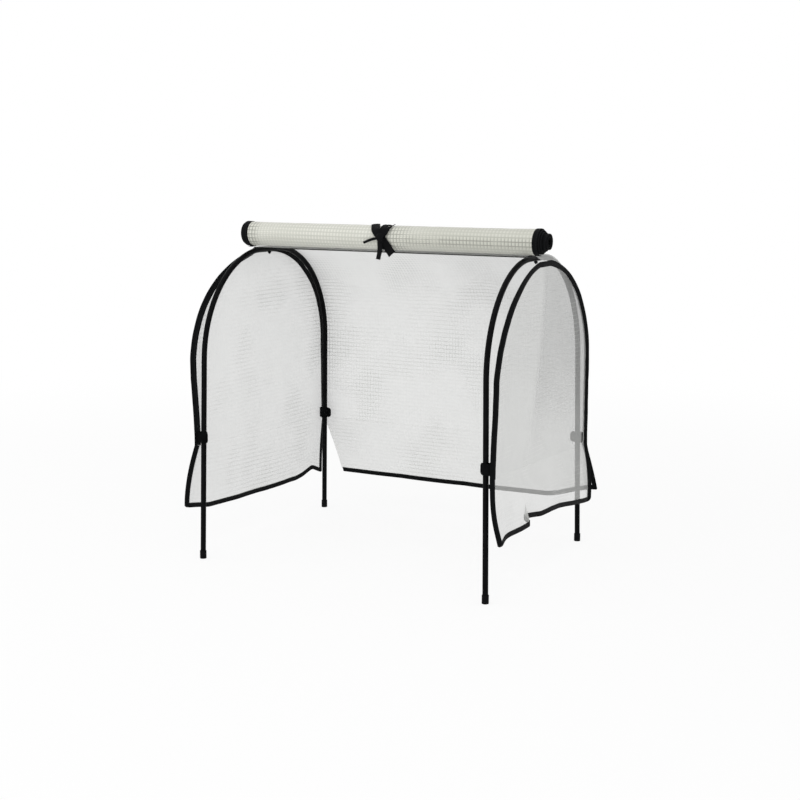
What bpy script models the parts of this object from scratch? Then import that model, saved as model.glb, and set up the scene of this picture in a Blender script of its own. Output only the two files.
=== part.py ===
"""Tunnel cover for a raised planter: two tube hoops, a ridge tube and a bound mesh cover.

The front flap is rolled up on the crown of the hoops and held by a ribbon. Units are metres.
X runs along the ridge, -Y is the open front, +Z is up. The origin is at floor level, under the
middle of the object's box.
"""

import math

import bmesh
import bpy
from mathutils import Matrix, Vector

# Clearances between pieces that touch
GAP = 0.0003
TILT_ROOM = 0.0005

# Frame of tubes. The depth is front to back at the shoulders, the span is hoop to hoop at the crowns
TUBE_RADIUS = 0.008
TUBE_WALL = 0.001
TUBE_SIDES = 10
HOOP_DEPTH = 0.700
HOOP_SPAN = 0.890
CROWN_HEIGHT = 0.9088
SHOULDER_RADIUS = 0.310
SHOULDER_STEPS = 16
LEG_SPLAY = math.radians(0.85)
HOOP_LEAN = math.radians(1.08)

# Joint of leg and arch: the leg's reduced top plugs into the arch
LEG_JOINT_HEIGHT = 0.354
SPIGOT_LENGTH = 0.030
SWAGE_LENGTH = 0.002

# Foot caps
CAP_RADIUS = 0.0098
CAP_HEIGHT = 0.024
CAP_FLOOR = 0.003
CAP_CHAMFER = 0.0012
CAP_SIDES = 16

# Ridge tube, with its ends pressed flat on the crowns
RIDGE_RADIUS = 0.005
RIDGE_SIDES = 16
TAB_THICKNESS = 0.0016
TAB_WIDTH = 0.0155
TAB_NECK = 0.018
TAB_SETBACK = 0.016
TAB_SQUARENESS = 2.0
TAB_END_ANGLE = math.radians(72)
TAB_STEPS = 4

# Ridge bolts and nuts
BOLT_RADIUS = 0.003
BOLT_CHAMFER = 0.0006
BOLT_HEAD_RADIUS = 0.0065
BOLT_HEAD_HEIGHT = 0.0014
BOLT_TIP = 0.003
BOLT_SIDES = 12
NUT_CORNER_RADIUS = 0.0058
NUT_HEIGHT = 0.005

# Cover
SHEET = 0.0015
TAPE = 0.0024
TAPE_WIDTH = 0.015
PANEL_STANDOFF = 0.0285
EDGE_RISE = 0.0038
BACK_SLACK = 0.016

# How far the bound edges of the end panels fall inside the hoop's line: at the crown, over each
# shoulder, and where the front leg starts (negative where the edge stands out in front of it)
LEFT_CROWN_FALL = 0.006
RIGHT_CROWN_FALL = 0.019
LEFT_FRONT_SAG = 0.013
RIGHT_FRONT_SAG = 0.021
LEFT_BACK_SAG = 0.0
RIGHT_BACK_SAG = 0.009
LEFT_LEG_FALL = -0.018
RIGHT_LEG_FALL = 0.013
ROOF_FALL_START = 0.004

# The creases above the skirts, and the roof sheet's front edge
CREASE_FRONT_Z = 0.345
CREASE_BACK_Z = 0.310
SKIRT_DROP = 0.190
ROOF_FRONT = 0.018

# How far each skirt corner swings out from its crease
LEFT_FRONT_FLARE = 0.044
LEFT_BACK_FLARE = 0.018
RIGHT_FRONT_FLARE = 0.027
RIGHT_BACK_FLARE = 0.014
SIDE_BACK_SLANT = 0.010
BACK_FLARE = 0.030
BACK_LEFT_SHIFT = 0.055
BACK_RIGHT_SHIFT = 0.031
BACK_RIGHT_LIFT = 0.038
LEFT_HEM_LIFT = -0.012
RIGHT_HEM_LIFT = 0.036
HEM_LIFT_END = 0.05
FLARE_POWER = 1.6
HEM_GAP = 0.0008

# Soft folds: how far they stand out, and how many there are
LEFT_FOLD = 0.005
LEFT_FOLDS = 1.5
PLEAT_HEIGHT = 0.009
PLEAT_HALF_WIDTH = 0.035
PLEAT_SETBACK = 0.083
BACK_FOLD = 0.006
BACK_FOLDS = 5
SKIRT_FOLD = 0.006
SIDE_SKIRT_FOLDS = 3
SIDE_SKIRT_COLUMNS = 18
BACK_SKIRT_FOLDS = 4
BACK_SKIRT_COLUMNS = 20

# Rolled front flap. Its right end has telescoped: the outer turns a little, the core further
ROLL_RADIUS = 0.038
ROLL_CORE_RADIUS = 0.012
ROLL_TURNS = 6
ROLL_STEPS = 16
ROLL_SHEET = 0.0018
ROLL_LEFT_OVERHANG = -0.0035
ROLL_RIGHT_OVERHANG = 0.0215
ROLL_LEFT_SHIFT = 0.0095
ROLL_LEFT_SHARE = 0.25
ROLL_TURNS_SHIFT = 0.0140
ROLL_CORE_SHIFT = 0.0140
ROLL_TURNS_SHARE = 0.45
ROLL_CORE_SHARE = 0.60
ROLL_LEAN = math.radians(7)
LEAD_FRONT = math.radians(3)

# Ribbon that ties the roll
RIBBON_WIDTH = 0.022
RIBBON = 0.0012
LOOP_EASE = 0.0004
LOOP_STEPS = 28
TIE_OFFSET = 0.018
KNOT_WIDTH = 0.027
KNOT_DEPTH = 0.015
KNOT_HEIGHT = 0.026
KNOT_DROP = 0.003
TAIL_SETBACK = 0.72

# Hook-and-loop straps round the legs
STRAP = 0.0013
STRAP_HEIGHT = 0.032
STRAP_ROOM = 0.0009
STRAP_RISE = 0.0245
STRAP_OVERLAP = 0.016
STRAP_RAMP = 0.010
STRAP_STEP = 0.004

# Places along the ridge, worked out from the sizes above
END_PANEL_X = HOOP_SPAN / 2 + PANEL_STANDOFF
ROOF_HALF_WIDTH = END_PANEL_X + TAPE / 2
ROLL_LEFT_X = -END_PANEL_X - ROLL_LEFT_OVERHANG
ROLL_RIGHT_X = END_PANEL_X + ROLL_RIGHT_OVERHANG
CROWN_FALL = {-1: LEFT_CROWN_FALL, 1: RIGHT_CROWN_FALL}
FRONT_SAG = {-1: LEFT_FRONT_SAG, 1: RIGHT_FRONT_SAG}
BACK_SAG = {-1: LEFT_BACK_SAG, 1: RIGHT_BACK_SAG}
LEG_FALL = {-1: LEFT_LEG_FALL, 1: RIGHT_LEG_FALL}
HEM_LIFT = {-1: LEFT_HEM_LIFT, 1: RIGHT_HEM_LIFT}
SIDE_FLARE = {-1: (LEFT_FRONT_FLARE, LEFT_BACK_FLARE), 1: (RIGHT_FRONT_FLARE, RIGHT_BACK_FLARE)}

# The hoop's bends
HALF_FLAT = HOOP_DEPTH / 2 - SHOULDER_RADIUS
BEND = math.pi / 2 - LEG_SPLAY
BEND_RUN = HALF_FLAT + SHOULDER_RADIUS * BEND
SHOULDER_Z = CROWN_HEIGHT - SHOULDER_RADIUS
BEND_END_Y = HALF_FLAT + SHOULDER_RADIUS * math.cos(LEG_SPLAY)
BEND_END_Z = SHOULDER_Z + SHOULDER_RADIUS * math.sin(LEG_SPLAY)

# Heights over the crown
COVER_RISE = TUBE_RADIUS + EDGE_RISE
ROOF_Z = CROWN_HEIGHT + COVER_RISE + GAP
TAB_TOP = CROWN_HEIGHT + TUBE_RADIUS + GAP + TAB_THICKNESS

# The hoops' middle, set so that the object's box is centred. The left panel's bound edge stands
# furthest forward and the back skirt's hem furthest back, the left skirt's front corner furthest
# left and the roll's core furthest right
FRONT_REACH = BEND_END_Y + (COVER_RISE - LEFT_LEG_FALL) * math.cos(LEG_SPLAY)
BACK_LEG_REACH = BEND_END_Y + (BEND_END_Z - CREASE_BACK_Z) * math.tan(LEG_SPLAY)
BACK_RISE = COVER_RISE + BACK_SLACK + GAP + TAPE / 2
BACK_REACH = BACK_LEG_REACH + BACK_RISE * math.cos(LEG_SPLAY) + BACK_FLARE + TAPE / 2
HOOP_Y = (FRONT_REACH - BACK_REACH) / 2
LEFT_REACH = END_PANEL_X + LEFT_FRONT_FLARE + TAPE / 2
RIGHT_REACH = ROLL_RIGHT_X + ROLL_TURNS_SHIFT + ROLL_CORE_SHIFT
HOOP_X = (LEFT_REACH - RIGHT_REACH) / 2
SHOULDER_Y = HOOP_Y - HALF_FLAT
PLEAT_Y = HOOP_Y - PLEAT_SETBACK

# The roll's axis: it lies a little way down the front shoulder
ROLL_REACH = ROOF_Z + SHEET + RIBBON + 2 * GAP + ROLL_RADIUS - SHOULDER_Z
ROLL_AXIS_Y = SHOULDER_Y - ROLL_REACH * math.sin(ROLL_LEAN)
ROLL_AXIS_Z = SHOULDER_Z + ROLL_REACH * math.cos(ROLL_LEAN)

# Name of the empty that carries everything
MIDDLE = "hoops_middle"

# The roll's winding
ROLL_PITCH = (ROLL_RADIUS - ROLL_CORE_RADIUS) / ROLL_TURNS
ROLL_SWEEP = 2 * math.pi * ROLL_TURNS


def make_material(name, color, roughness, metallic=0.0, alpha=1.0):
    """A plain Principled material."""
    material = bpy.data.materials.new(name)
    material.use_nodes = True
    shader = material.node_tree.nodes["Principled BSDF"]
    shader.inputs["Base Color"].default_value = (*color, 1.0)
    shader.inputs["Roughness"].default_value = roughness
    shader.inputs["Metallic"].default_value = metallic
    shader.inputs["Alpha"].default_value = alpha
    return material


def make_empty(name, location, turn_y=0.0):
    """An empty that carries pieces, such as one on a hinge line. The hoops' middle carries them all."""
    middle = bpy.data.objects.get(MIDDLE)
    empty = bpy.data.objects.new(name, None)
    empty.location = location
    empty.rotation_euler = (0.0, turn_y, 0.0)
    empty.parent = middle
    bpy.context.scene.collection.objects.link(empty)
    return empty


def add_piece(name, mesh, material, carrier=None):
    """Link a mesh, with its origin on the empty that carries it."""
    piece = bpy.data.objects.new(name, mesh)
    mesh.name = name
    mesh.materials.append(material)
    mesh.shade_smooth()
    mesh.set_sharp_from_angle(angle=math.radians(40))
    bpy.context.scene.collection.objects.link(piece)
    hang(piece, carrier)
    return piece


def hang(piece, carrier=None):
    """Give a piece, drawn with the hoops' middle at x = 0, to the empty that carries it."""
    if carrier is not None:
        piece.data.transform(Matrix.Translation(-carrier.location))
    piece.parent = carrier or bpy.data.objects[MIDDLE]


def mesh_from(points, faces):
    """A mesh from points and faces, with the faces of a closed shape turned outward."""
    mesh = bpy.data.meshes.new("shape")
    mesh.from_pydata([tuple(point) for point in points], [], faces)
    work = bmesh.new()
    work.from_mesh(mesh)
    bmesh.ops.recalc_face_normals(work, faces=work.faces)
    work.to_mesh(mesh)
    work.free()
    return mesh


def skin(rings, joined=False):
    """Skin rings of equal length. Joined, the last ring meets the first; otherwise both ends are capped."""
    count = len(rings[0])
    points = [point for ring in rings for point in ring]
    faces = []
    spans = len(rings) if joined else len(rings) - 1
    for span in range(spans):
        low = span * count
        high = (span + 1) % len(rings) * count
        for side in range(count):
            turn = (side + 1) % count
            faces.append((low + side, low + turn, high + turn, high + side))
    if not joined:
        faces.append(tuple(range(count)))
        faces.append(tuple(range(len(points) - count, len(points))))
    return mesh_from(points, faces)


def circle(centre, radius, across, up, sides):
    """Points of a circle in the plane of two unit vectors."""
    ring = []
    for side in range(sides):
        angle = 2 * math.pi * side / sides
        ring.append(centre + radius * (math.cos(angle) * across + math.sin(angle) * up))
    return ring


def grid_sheet(name, rows, thickness, material, carrier=None):
    """A thin sheet through a grid of points, thickened evenly to both sides."""
    width = len(rows[0])
    points = [point for row in rows for point in row]
    faces = []
    for row in range(len(rows) - 1):
        for column in range(width - 1):
            corner = row * width + column
            faces.append((corner, corner + 1, corner + width + 1, corner + width))
    sheet = add_piece(name, mesh_from(points, faces), material, carrier)
    solid = sheet.modifiers.new("thickness", "SOLIDIFY")
    solid.thickness = thickness
    solid.offset = 0.0
    return sheet


def drill(piece, centre, radius, length, carrier=None):
    """Cut a round vertical hole with a hidden cutter."""
    up = Vector((0.0, 0.0, length / 2))
    across = Vector((1.0, 0.0, 0.0))
    along = Vector((0.0, 1.0, 0.0))
    rings = [circle(centre + end * up, radius, across, along, BOLT_SIDES) for end in (-1, 1)]
    cutter = bpy.data.objects.new(f"{piece.name}_drill", skin(rings))
    hang(cutter, carrier)
    cutter.hide_render = True
    cutter.display_type = "WIRE"
    bpy.context.scene.collection.objects.link(cutter)
    cut = piece.modifiers.new("hole", "BOOLEAN")
    cut.operation = "DIFFERENCE"
    cut.solver = "EXACT"
    cut.object = cutter


def lathe(profile, centre, sides):
    """Turn an outline of (radius, height) points about a vertical axis."""
    points = []
    index = []
    for radius, height in profile:
        row = []
        for side in range(sides):
            if radius > 0.0 or side == 0:
                angle = 2 * math.pi * side / sides
                offset = Vector((radius * math.cos(angle), radius * math.sin(angle), height))
                points.append(centre + offset)
            row.append(len(points) - 1)
        index.append(row)
    faces = []
    for low, high in zip(index, index[1:]):
        for side in range(sides):
            turn = (side + 1) % sides
            face = dict.fromkeys((low[side], low[turn], high[turn], high[side]))
            faces.append(tuple(face))
    return mesh_from(points, faces)


def smooth_step(value):
    """0 below 0, 1 above 1, and an S curve between."""
    value = min(1.0, max(0.0, value))
    return value * value * (3 - 2 * value)


def spread(first, last, steps):
    """Evenly spaced values, both ends included."""
    return [first + (last - first) * step / steps for step in range(steps + 1)]


# The hoop's centre line


def hoop_point(run):
    """Centre line at a run from the crown, negative to the front, and its outward normal, at x = 0."""
    side = -1.0 if run < 0 else 1.0
    angle = min(BEND, max(0.0, (abs(run) - HALF_FLAT) / SHOULDER_RADIUS))
    normal = Vector((0.0, side * math.sin(angle), math.cos(angle)))
    flat = min(abs(run), HALF_FLAT)
    centre = Vector((0.0, HOOP_Y + side * flat, SHOULDER_Z)) + SHOULDER_RADIUS * normal
    if abs(run) <= HALF_FLAT:
        centre.z = CROWN_HEIGHT
    leg = max(0.0, abs(run) - BEND_RUN)
    down = Vector((0.0, side * math.sin(LEG_SPLAY), -math.cos(LEG_SPLAY)))
    return centre + leg * down, normal


def run_at_height(height):
    """Run from the crown to a height on the straight leg."""
    return BEND_RUN + (BEND_END_Z - height) / math.cos(LEG_SPLAY)


def leg_centre(x_side, y_side, height):
    """Centre line of a leaning, splayed leg at a height."""
    point, _ = hoop_point(y_side * run_at_height(height))
    lean = (CROWN_HEIGHT - height) * math.tan(HOOP_LEAN)
    return Vector((x_side * (HOOP_SPAN / 2 + lean), point.y, height))


def build_tube(name, stations, material, frame, to_frame):
    """A hollow tube through stations of (centre, direction, outer radius, bore radius)."""
    across = Vector((1.0, 0.0, 0.0))
    outside = []
    inside = []
    for centre, direction, outer, bore in stations:
        up = direction.cross(across).normalized()
        outside.append(circle(centre + to_frame, outer, across, up, TUBE_SIDES))
        inside.append(circle(centre + to_frame, bore, across, up, TUBE_SIDES))
    return add_piece(name, skin(outside + inside[::-1], joined=True), material, frame)


def build_hoop(label, x_side, material):
    """One leaning hoop: a bent arch tube and two leg tubes whose swaged tops plug into it."""
    crown = Vector((x_side * HOOP_SPAN / 2, HOOP_Y, CROWN_HEIGHT))
    frame = make_empty(f"{label}_hoop_frame", crown, -x_side * HOOP_LEAN)
    to_frame = Vector((crown.x, 0.0, 0.0))
    joint_run = run_at_height(LEG_JOINT_HEIGHT)
    bore = TUBE_RADIUS - TUBE_WALL

    runs = [-joint_run]
    runs += spread(-BEND_RUN, -HALF_FLAT, SHOULDER_STEPS)
    runs += spread(HALF_FLAT, BEND_RUN, SHOULDER_STEPS)
    runs.append(joint_run)
    stations = []
    for run in runs:
        centre, normal = hoop_point(run)
        stations.append((centre, Vector((0.0, normal.z, -normal.y)), TUBE_RADIUS, bore))
    arch = build_tube(f"{label}_arch_tube", stations, material, frame, to_frame)
    drill(arch, crown, BOLT_RADIUS + TILT_ROOM, 4 * TUBE_RADIUS, frame)

    spigot = bore - GAP
    for word, y_side in (("front", -1), ("back", 1)):
        top, _ = hoop_point(y_side * joint_run)
        down = Vector((0.0, y_side * math.sin(LEG_SPLAY), -math.cos(LEG_SPLAY)))
        length = (top.z - CAP_FLOOR - TILT_ROOM) / math.cos(LEG_SPLAY)
        sizes = (
            (-SPIGOT_LENGTH, spigot, spigot - TUBE_WALL),
            (GAP, spigot, spigot - TUBE_WALL),
            (GAP + SWAGE_LENGTH, TUBE_RADIUS, bore),
            (length, TUBE_RADIUS, bore),
        )
        stations = [(top + along * down, down, outer, inner) for along, outer, inner in sizes]
        build_tube(f"{label}_{word}_leg_tube", stations, material, frame, to_frame)


def build_foot_cap(name, x_side, y_side, material):
    """A moulded cup over the end of a leg."""
    centre = leg_centre(x_side, y_side, CAP_HEIGHT / 2)
    centre.z = 0.0
    bore = TUBE_RADIUS + TILT_ROOM
    profile = (
        (0.0, 0.0),
        (CAP_RADIUS - CAP_CHAMFER, 0.0),
        (CAP_RADIUS, CAP_CHAMFER),
        (CAP_RADIUS, CAP_HEIGHT),
        (bore, CAP_HEIGHT),
        (bore, CAP_FLOOR),
        (0.0, CAP_FLOOR),
    )
    add_piece(name, lathe(profile, centre, CAP_SIDES), material)


def build_ridge_tube(material):
    """The ridge tube, round along its length and pressed flat where it is bolted on each crown."""
    axis_z = TAB_TOP - RIDGE_RADIUS
    tab_z = TAB_TOP - TAB_THICKNESS / 2
    bolt_x = HOOP_SPAN / 2
    end_radius = TAB_WIDTH / 2
    neck_end = bolt_x - TAB_SETBACK
    half = []
    for step in spread(0.0, 1.0, TAB_STEPS):
        half.append((neck_end - TAB_NECK * (1 - step), smooth_step(step), end_radius))
    for angle in spread(0.0, TAB_END_ANGLE, TAB_STEPS):
        half.append((bolt_x + end_radius * math.sin(angle), 1.0, end_radius * math.cos(angle)))
    other = [(-x, flat, width) for x, flat, width in reversed(half)]
    rings = []
    for x, flat, width in other + half:
        half_width = RIDGE_RADIUS + (width - RIDGE_RADIUS) * flat
        half_height = RIDGE_RADIUS + (TAB_THICKNESS / 2 - RIDGE_RADIUS) * flat
        middle = axis_z + (tab_z - axis_z) * flat
        ring = []
        for side in range(RIDGE_SIDES):
            angle = 2 * math.pi * side / RIDGE_SIDES
            rise = math.sin(angle)
            full = max(-1.0, min(1.0, rise * (1 + TAB_SQUARENESS * flat)))
            ring.append(Vector((x, HOOP_Y + half_width * math.cos(angle), middle + half_height * full)))
        rings.append(ring)
    tube = add_piece("ridge_tube", skin(rings), material)
    for x_side in (-1, 1):
        centre = Vector((x_side * bolt_x, HOOP_Y, tab_z))
        drill(tube, centre, BOLT_RADIUS + TILT_ROOM, 6 * TAB_THICKNESS)


def build_bolt_and_nut(label, x_side, material):
    """A low-headed bolt down through the ridge tube's flat end and the crown, and its nut."""
    centre = Vector((x_side * HOOP_SPAN / 2, HOOP_Y, 0.0))
    head_z = TAB_TOP + GAP
    nut_top = CROWN_HEIGHT - TUBE_RADIUS - GAP
    nut_bottom = nut_top - NUT_HEIGHT
    tip_z = nut_bottom - BOLT_TIP
    profile = (
        (0.0, tip_z),
        (BOLT_RADIUS - BOLT_CHAMFER, tip_z),
        (BOLT_RADIUS, tip_z + BOLT_CHAMFER),
        (BOLT_RADIUS, head_z),
        (BOLT_HEAD_RADIUS, head_z),
        (BOLT_HEAD_RADIUS * 0.8, head_z + BOLT_HEAD_HEIGHT * 0.7),
        (0.0, head_z + BOLT_HEAD_HEIGHT),
    )
    add_piece(f"{label}_ridge_bolt", lathe(profile, centre, BOLT_SIDES), material)

    across = Vector((1.0, 0.0, 0.0))
    along = Vector((0.0, 1.0, 0.0))
    rings = []
    for hexagon, height in ((True, nut_top), (True, nut_bottom), (False, nut_bottom), (False, nut_top)):
        middle = centre + Vector((0.0, 0.0, height))
        ring = circle(middle, BOLT_RADIUS + GAP, across, along, BOLT_SIDES)
        if hexagon:
            ring = circle(middle, NUT_CORNER_RADIUS, across, along, BOLT_SIDES)
            flat = math.cos(math.pi / 6)
            ring = [middle + (point - middle) * (flat if i % 2 else 1.0) for i, point in enumerate(ring)]
        rings.append(ring)
    add_piece(f"{label}_ridge_nut", skin(rings, joined=True), material)


# The cover's edge line, a little outside the hoop


def shoulder_share(run):
    """How far round the shoulder's bend a run is, from 0 at the crown to 1 at the leg."""
    return min(1.0, max(0.0, (abs(run) - HALF_FLAT) / (BEND_RUN - HALF_FLAT)))


def cover_point(run, inset):
    """A point of the cover over the hoops at x = 0, moved inward by an inset."""
    centre, normal = hoop_point(run)
    slack = BACK_SLACK * smooth_step(shoulder_share(run)) if run > 0 else 0.0
    return centre + (COVER_RISE + slack - inset) * normal


def edge_fall(run, x_side):
    """How far an end panel's bound edge falls inside the cover's line over the hoops."""
    share = shoulder_share(run)
    sag = BACK_SAG[x_side] if run > 0 else FRONT_SAG[x_side]
    fall = CROWN_FALL[x_side] * (1 - smooth_step(share)) + sag * math.sin(math.pi * share)
    if run < 0:
        leg = (-run - BEND_RUN) / (-FRONT_RUN - BEND_RUN)
        fall += LEG_FALL[x_side] * smooth_step(share) * (1 - smooth_step(leg))
    return fall


def edge_point(run, inset, x_side):
    """A point of an end panel's edge line at x = 0, moved inward by an inset."""
    return cover_point(run, inset + edge_fall(run, x_side))


FRONT_RUN = -run_at_height(CREASE_FRONT_Z)
BACK_RUN = run_at_height(CREASE_BACK_Z)
CREASE_FRONT_Y = cover_point(FRONT_RUN, 0.0).y
CREASE_BACK_Y = cover_point(BACK_RUN, 0.0).y
CREASE_LENGTH = math.hypot(CREASE_BACK_Y - CREASE_FRONT_Y, CREASE_FRONT_Z - CREASE_BACK_Z)
BACK_SKIRT_Y = cover_point(BACK_RUN, -GAP - TAPE / 2).y


def crease_z(y):
    """Height of the side crease, which falls towards the back."""
    share = (y - CREASE_FRONT_Y) / (CREASE_BACK_Y - CREASE_FRONT_Y)
    return CREASE_FRONT_Z + (CREASE_BACK_Z - CREASE_FRONT_Z) * share


def end_panel_x(x_side, y, z):
    """Where an end panel stands: flat at its edges and folded softly between them."""
    across = (y - HOOP_Y) / (HOOP_DEPTH / 2)
    up = (z - crease_z(y)) / (CROWN_HEIGHT - crease_z(y))
    window = max(0.0, 1 - across ** 4) * math.sin(math.pi * min(1.0, max(0.0, up)))
    if x_side < 0:
        fold = LEFT_FOLD * (1 + math.cos(2 * math.pi * LEFT_FOLDS * across)) / 2
    else:
        pleat = (y - PLEAT_Y) / PLEAT_HALF_WIDTH
        fold = PLEAT_HEIGHT * math.exp(-pleat * pleat)
    return x_side * (END_PANEL_X + fold * window)


def edge_runs():
    """Stations along the edge line from the front crease over the crown to the back crease."""
    runs = [FRONT_RUN]
    runs += spread(-BEND_RUN, -HALF_FLAT, SHOULDER_STEPS)
    runs += spread(-HALF_FLAT, HALF_FLAT, 4)[1:-1]
    runs += spread(HALF_FLAT, BEND_RUN, SHOULDER_STEPS)
    runs.append(BACK_RUN)
    return runs


def edge_column(run, inset, x_side):
    """An edge point, cut off at the crease where it is the first or the last."""
    point = edge_point(run, inset, x_side)
    if run in (FRONT_RUN, BACK_RUN):
        point.z = crease_z(point.y) + GAP
    return point


def build_end_panel(label, x_side, film, tape):
    """An arched end panel of mesh film and the tape that binds its edge."""
    runs = edge_runs()
    strip = []
    for inset in (0.0, TAPE_WIDTH / 2, TAPE_WIDTH):
        row = []
        for run in runs:
            point = edge_column(run, inset, x_side)
            row.append(Vector((end_panel_x(x_side, point.y, point.z), point.y, point.z)))
        strip.append(row)
    grid_sheet(f"{label}_edge_tape", strip, TAPE, tape)

    inset = TAPE_WIDTH + GAP
    tops = [edge_point(run, inset, x_side) for run in runs[1:-1]]
    first = edge_column(runs[0], inset, x_side)
    last = edge_column(runs[-1], inset, x_side)
    rows = []
    for up in spread(0.0, 1.0, 7):
        row = []
        for top in tops:
            share = (top.y - tops[0].y) / (tops[-1].y - tops[0].y)
            y_low = first.y + (last.y - first.y) * share
            y = y_low + (top.y - y_low) * up
            z_low = crease_z(y_low) + GAP
            z = z_low + (top.z - z_low) * up
            row.append(Vector((end_panel_x(x_side, y, z), y, z)))
        rows.append(row)
    grid_sheet(f"{label}_end_panel", rows, SHEET, film)


def build_roof_and_back(film):
    """The sheet that runs from behind the roll over the crown and down the back."""
    runs = spread(-ROOF_FRONT, HALF_FLAT, 3)
    runs += spread(HALF_FLAT, BEND_RUN, SHOULDER_STEPS)[1:]
    runs += spread(BEND_RUN, BACK_RUN, 4)[1:]
    fall_start = HOOP_SPAN / 2 + ROOF_FALL_START
    ends = spread(fall_start, ROOF_HALF_WIDTH, 3)
    columns = [-x for x in reversed(ends)] + spread(-fall_start, fall_start, 14)[1:-1] + ends
    rows = []
    for run in runs:
        point = cover_point(max(run, 0.0), -GAP - SHEET / 2)
        _, normal = hoop_point(run)
        point.y += min(run, 0.0)
        if run == BACK_RUN:
            point.z = CREASE_BACK_Z + GAP
        down = (run + ROOF_FRONT) / (BACK_RUN + ROOF_FRONT)
        row = []
        for x in columns:
            across = x / ROOF_HALF_WIDTH
            window = (1 - across ** 8) * math.sin(math.pi * down) ** 2
            fold = BACK_FOLD * (1 + math.cos(BACK_FOLDS * math.pi * across + math.pi * down)) / 2
            beyond = max(0.0, abs(x) - fall_start) / (ROOF_HALF_WIDTH - fall_start)
            fall = edge_fall(max(run, 0.0), -1 if x < 0 else 1) * beyond ** 1.5
            row.append(Vector((x, point.y, point.z)) + (fold * window - fall) * normal)
        rows.append(row)
    grid_sheet("roof_and_back_sheet", rows, SHEET, film)


def flare_share(down):
    """How much of its flare a skirt has at a share of its drop."""
    return 1 - (1 - down) ** FLARE_POWER


def side_skirt_point(x_side, along, drop):
    """A point of a side skirt from the distance along its crease and below it."""
    share = along / CREASE_LENGTH
    down = drop / SKIRT_DROP
    front, back = SIDE_FLARE[x_side]
    flare = (front + (back - front) * share) * flare_share(down)
    waves = math.sin(math.pi * share) * math.sin(SIDE_SKIRT_FOLDS * math.pi * share)
    fold = SKIRT_FOLD * waves ** 2 * down
    lift = HEM_LIFT[x_side] * (math.sin(math.pi * share) + HEM_LIFT_END * share) * down
    y = CREASE_FRONT_Y + (CREASE_BACK_Y - CREASE_FRONT_Y) * share + SIDE_BACK_SLANT * down * share
    z = CREASE_FRONT_Z + (CREASE_BACK_Z - CREASE_FRONT_Z) * share - drop + lift
    return Vector((x_side * (END_PANEL_X + flare + fold), y, z))


def back_skirt_point(along, drop):
    """A point of the back skirt, whose corners hang skewed to the right."""
    share = along / (2 * ROOF_HALF_WIDTH)
    down = drop / SKIRT_DROP
    shift = (BACK_LEFT_SHIFT + (BACK_RIGHT_SHIFT - BACK_LEFT_SHIFT) * share) * down
    lift = BACK_RIGHT_LIFT * smooth_step((share - 0.8) / 0.2) * down
    waves = math.sin(math.pi * share) * math.sin(BACK_SKIRT_FOLDS * math.pi * share)
    y = BACK_SKIRT_Y + BACK_FLARE * flare_share(down) - SKIRT_FOLD * abs(waves) * down
    return Vector((along - ROOF_HALF_WIDTH + shift, y, CREASE_BACK_Z - drop + lift))


def build_skirt(label, surface, length, columns, first_bound, film, tape, hinge):
    """A free skirt below a crease, bound with tape on its hem, its far side and maybe its first side."""
    low = SKIRT_DROP - TAPE_WIDTH
    inner = TAPE_WIDTH + GAP
    first = TAPE_WIDTH if first_bound else 0.0
    film_first = inner if first_bound else 0.0
    rows = []
    for drop in spread(HEM_GAP, low - GAP, 6):
        rows.append([surface(along, drop) for along in spread(film_first, length - inner, columns)])
    grid_sheet(f"{label}_skirt", rows, SHEET, film, hinge)

    route = [(0.0, drop) for drop in spread(HEM_GAP, SKIRT_DROP, 6)[:-1]] if first_bound else []
    route += [(along, SKIRT_DROP) for along in spread(0.0, length, columns)[:-1]]
    route += [(length, drop) for drop in spread(SKIRT_DROP, HEM_GAP, 6)]
    outer_row = []
    inner_row = []
    for along, drop in route:
        outer_row.append(surface(along, drop))
        across = first + (length - first - TAPE_WIDTH) * along / length
        down = HEM_GAP + (low - HEM_GAP) * (drop - HEM_GAP) / (SKIRT_DROP - HEM_GAP)
        inner_row.append(surface(across, down))
    grid_sheet(f"{label}_skirt_tape", [outer_row, inner_row], TAPE, tape, hinge)


# The rolled front flap


def roll_spiral(name, left_edge, right_edge, thickness, material, carrier):
    """A sheet wound into the roll, between two edges that depend on how far in it is."""
    steps = ROLL_TURNS * ROLL_STEPS
    middle = ROLL_RADIUS - ROLL_SHEET / 2
    points = []
    for step in range(steps + 1):
        sweep = ROLL_SWEEP * step / steps
        angle = ROLL_LEAN - math.pi / 2 - sweep
        radius = middle - ROLL_PITCH * sweep / (2 * math.pi)
        for x in (left_edge(sweep), right_edge(sweep)):
            for face in (1, -1):
                out = radius + face * thickness / 2
                y = ROLL_AXIS_Y + out * math.cos(angle)
                points.append(Vector((x, y, ROLL_AXIS_Z + out * math.sin(angle))))
    faces = []
    for step in range(steps):
        low = 4 * step
        for one, two in ((0, 2), (2, 3), (3, 1), (1, 0)):
            faces.append((low + one, low + two, low + 4 + two, low + 4 + one))
    faces.append((0, 1, 3, 2))
    last = 4 * steps
    faces.append((last, last + 1, last + 3, last + 2))
    return add_piece(name, mesh_from(points, faces), material, carrier)


def roll_left_end(sweep):
    """Left edge of the rolled flap, whose outer turns stand back a little."""
    outer = max(0.0, 1 - sweep / ROLL_SWEEP / ROLL_LEFT_SHARE)
    return ROLL_LEFT_X + ROLL_LEFT_SHIFT * outer


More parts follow.
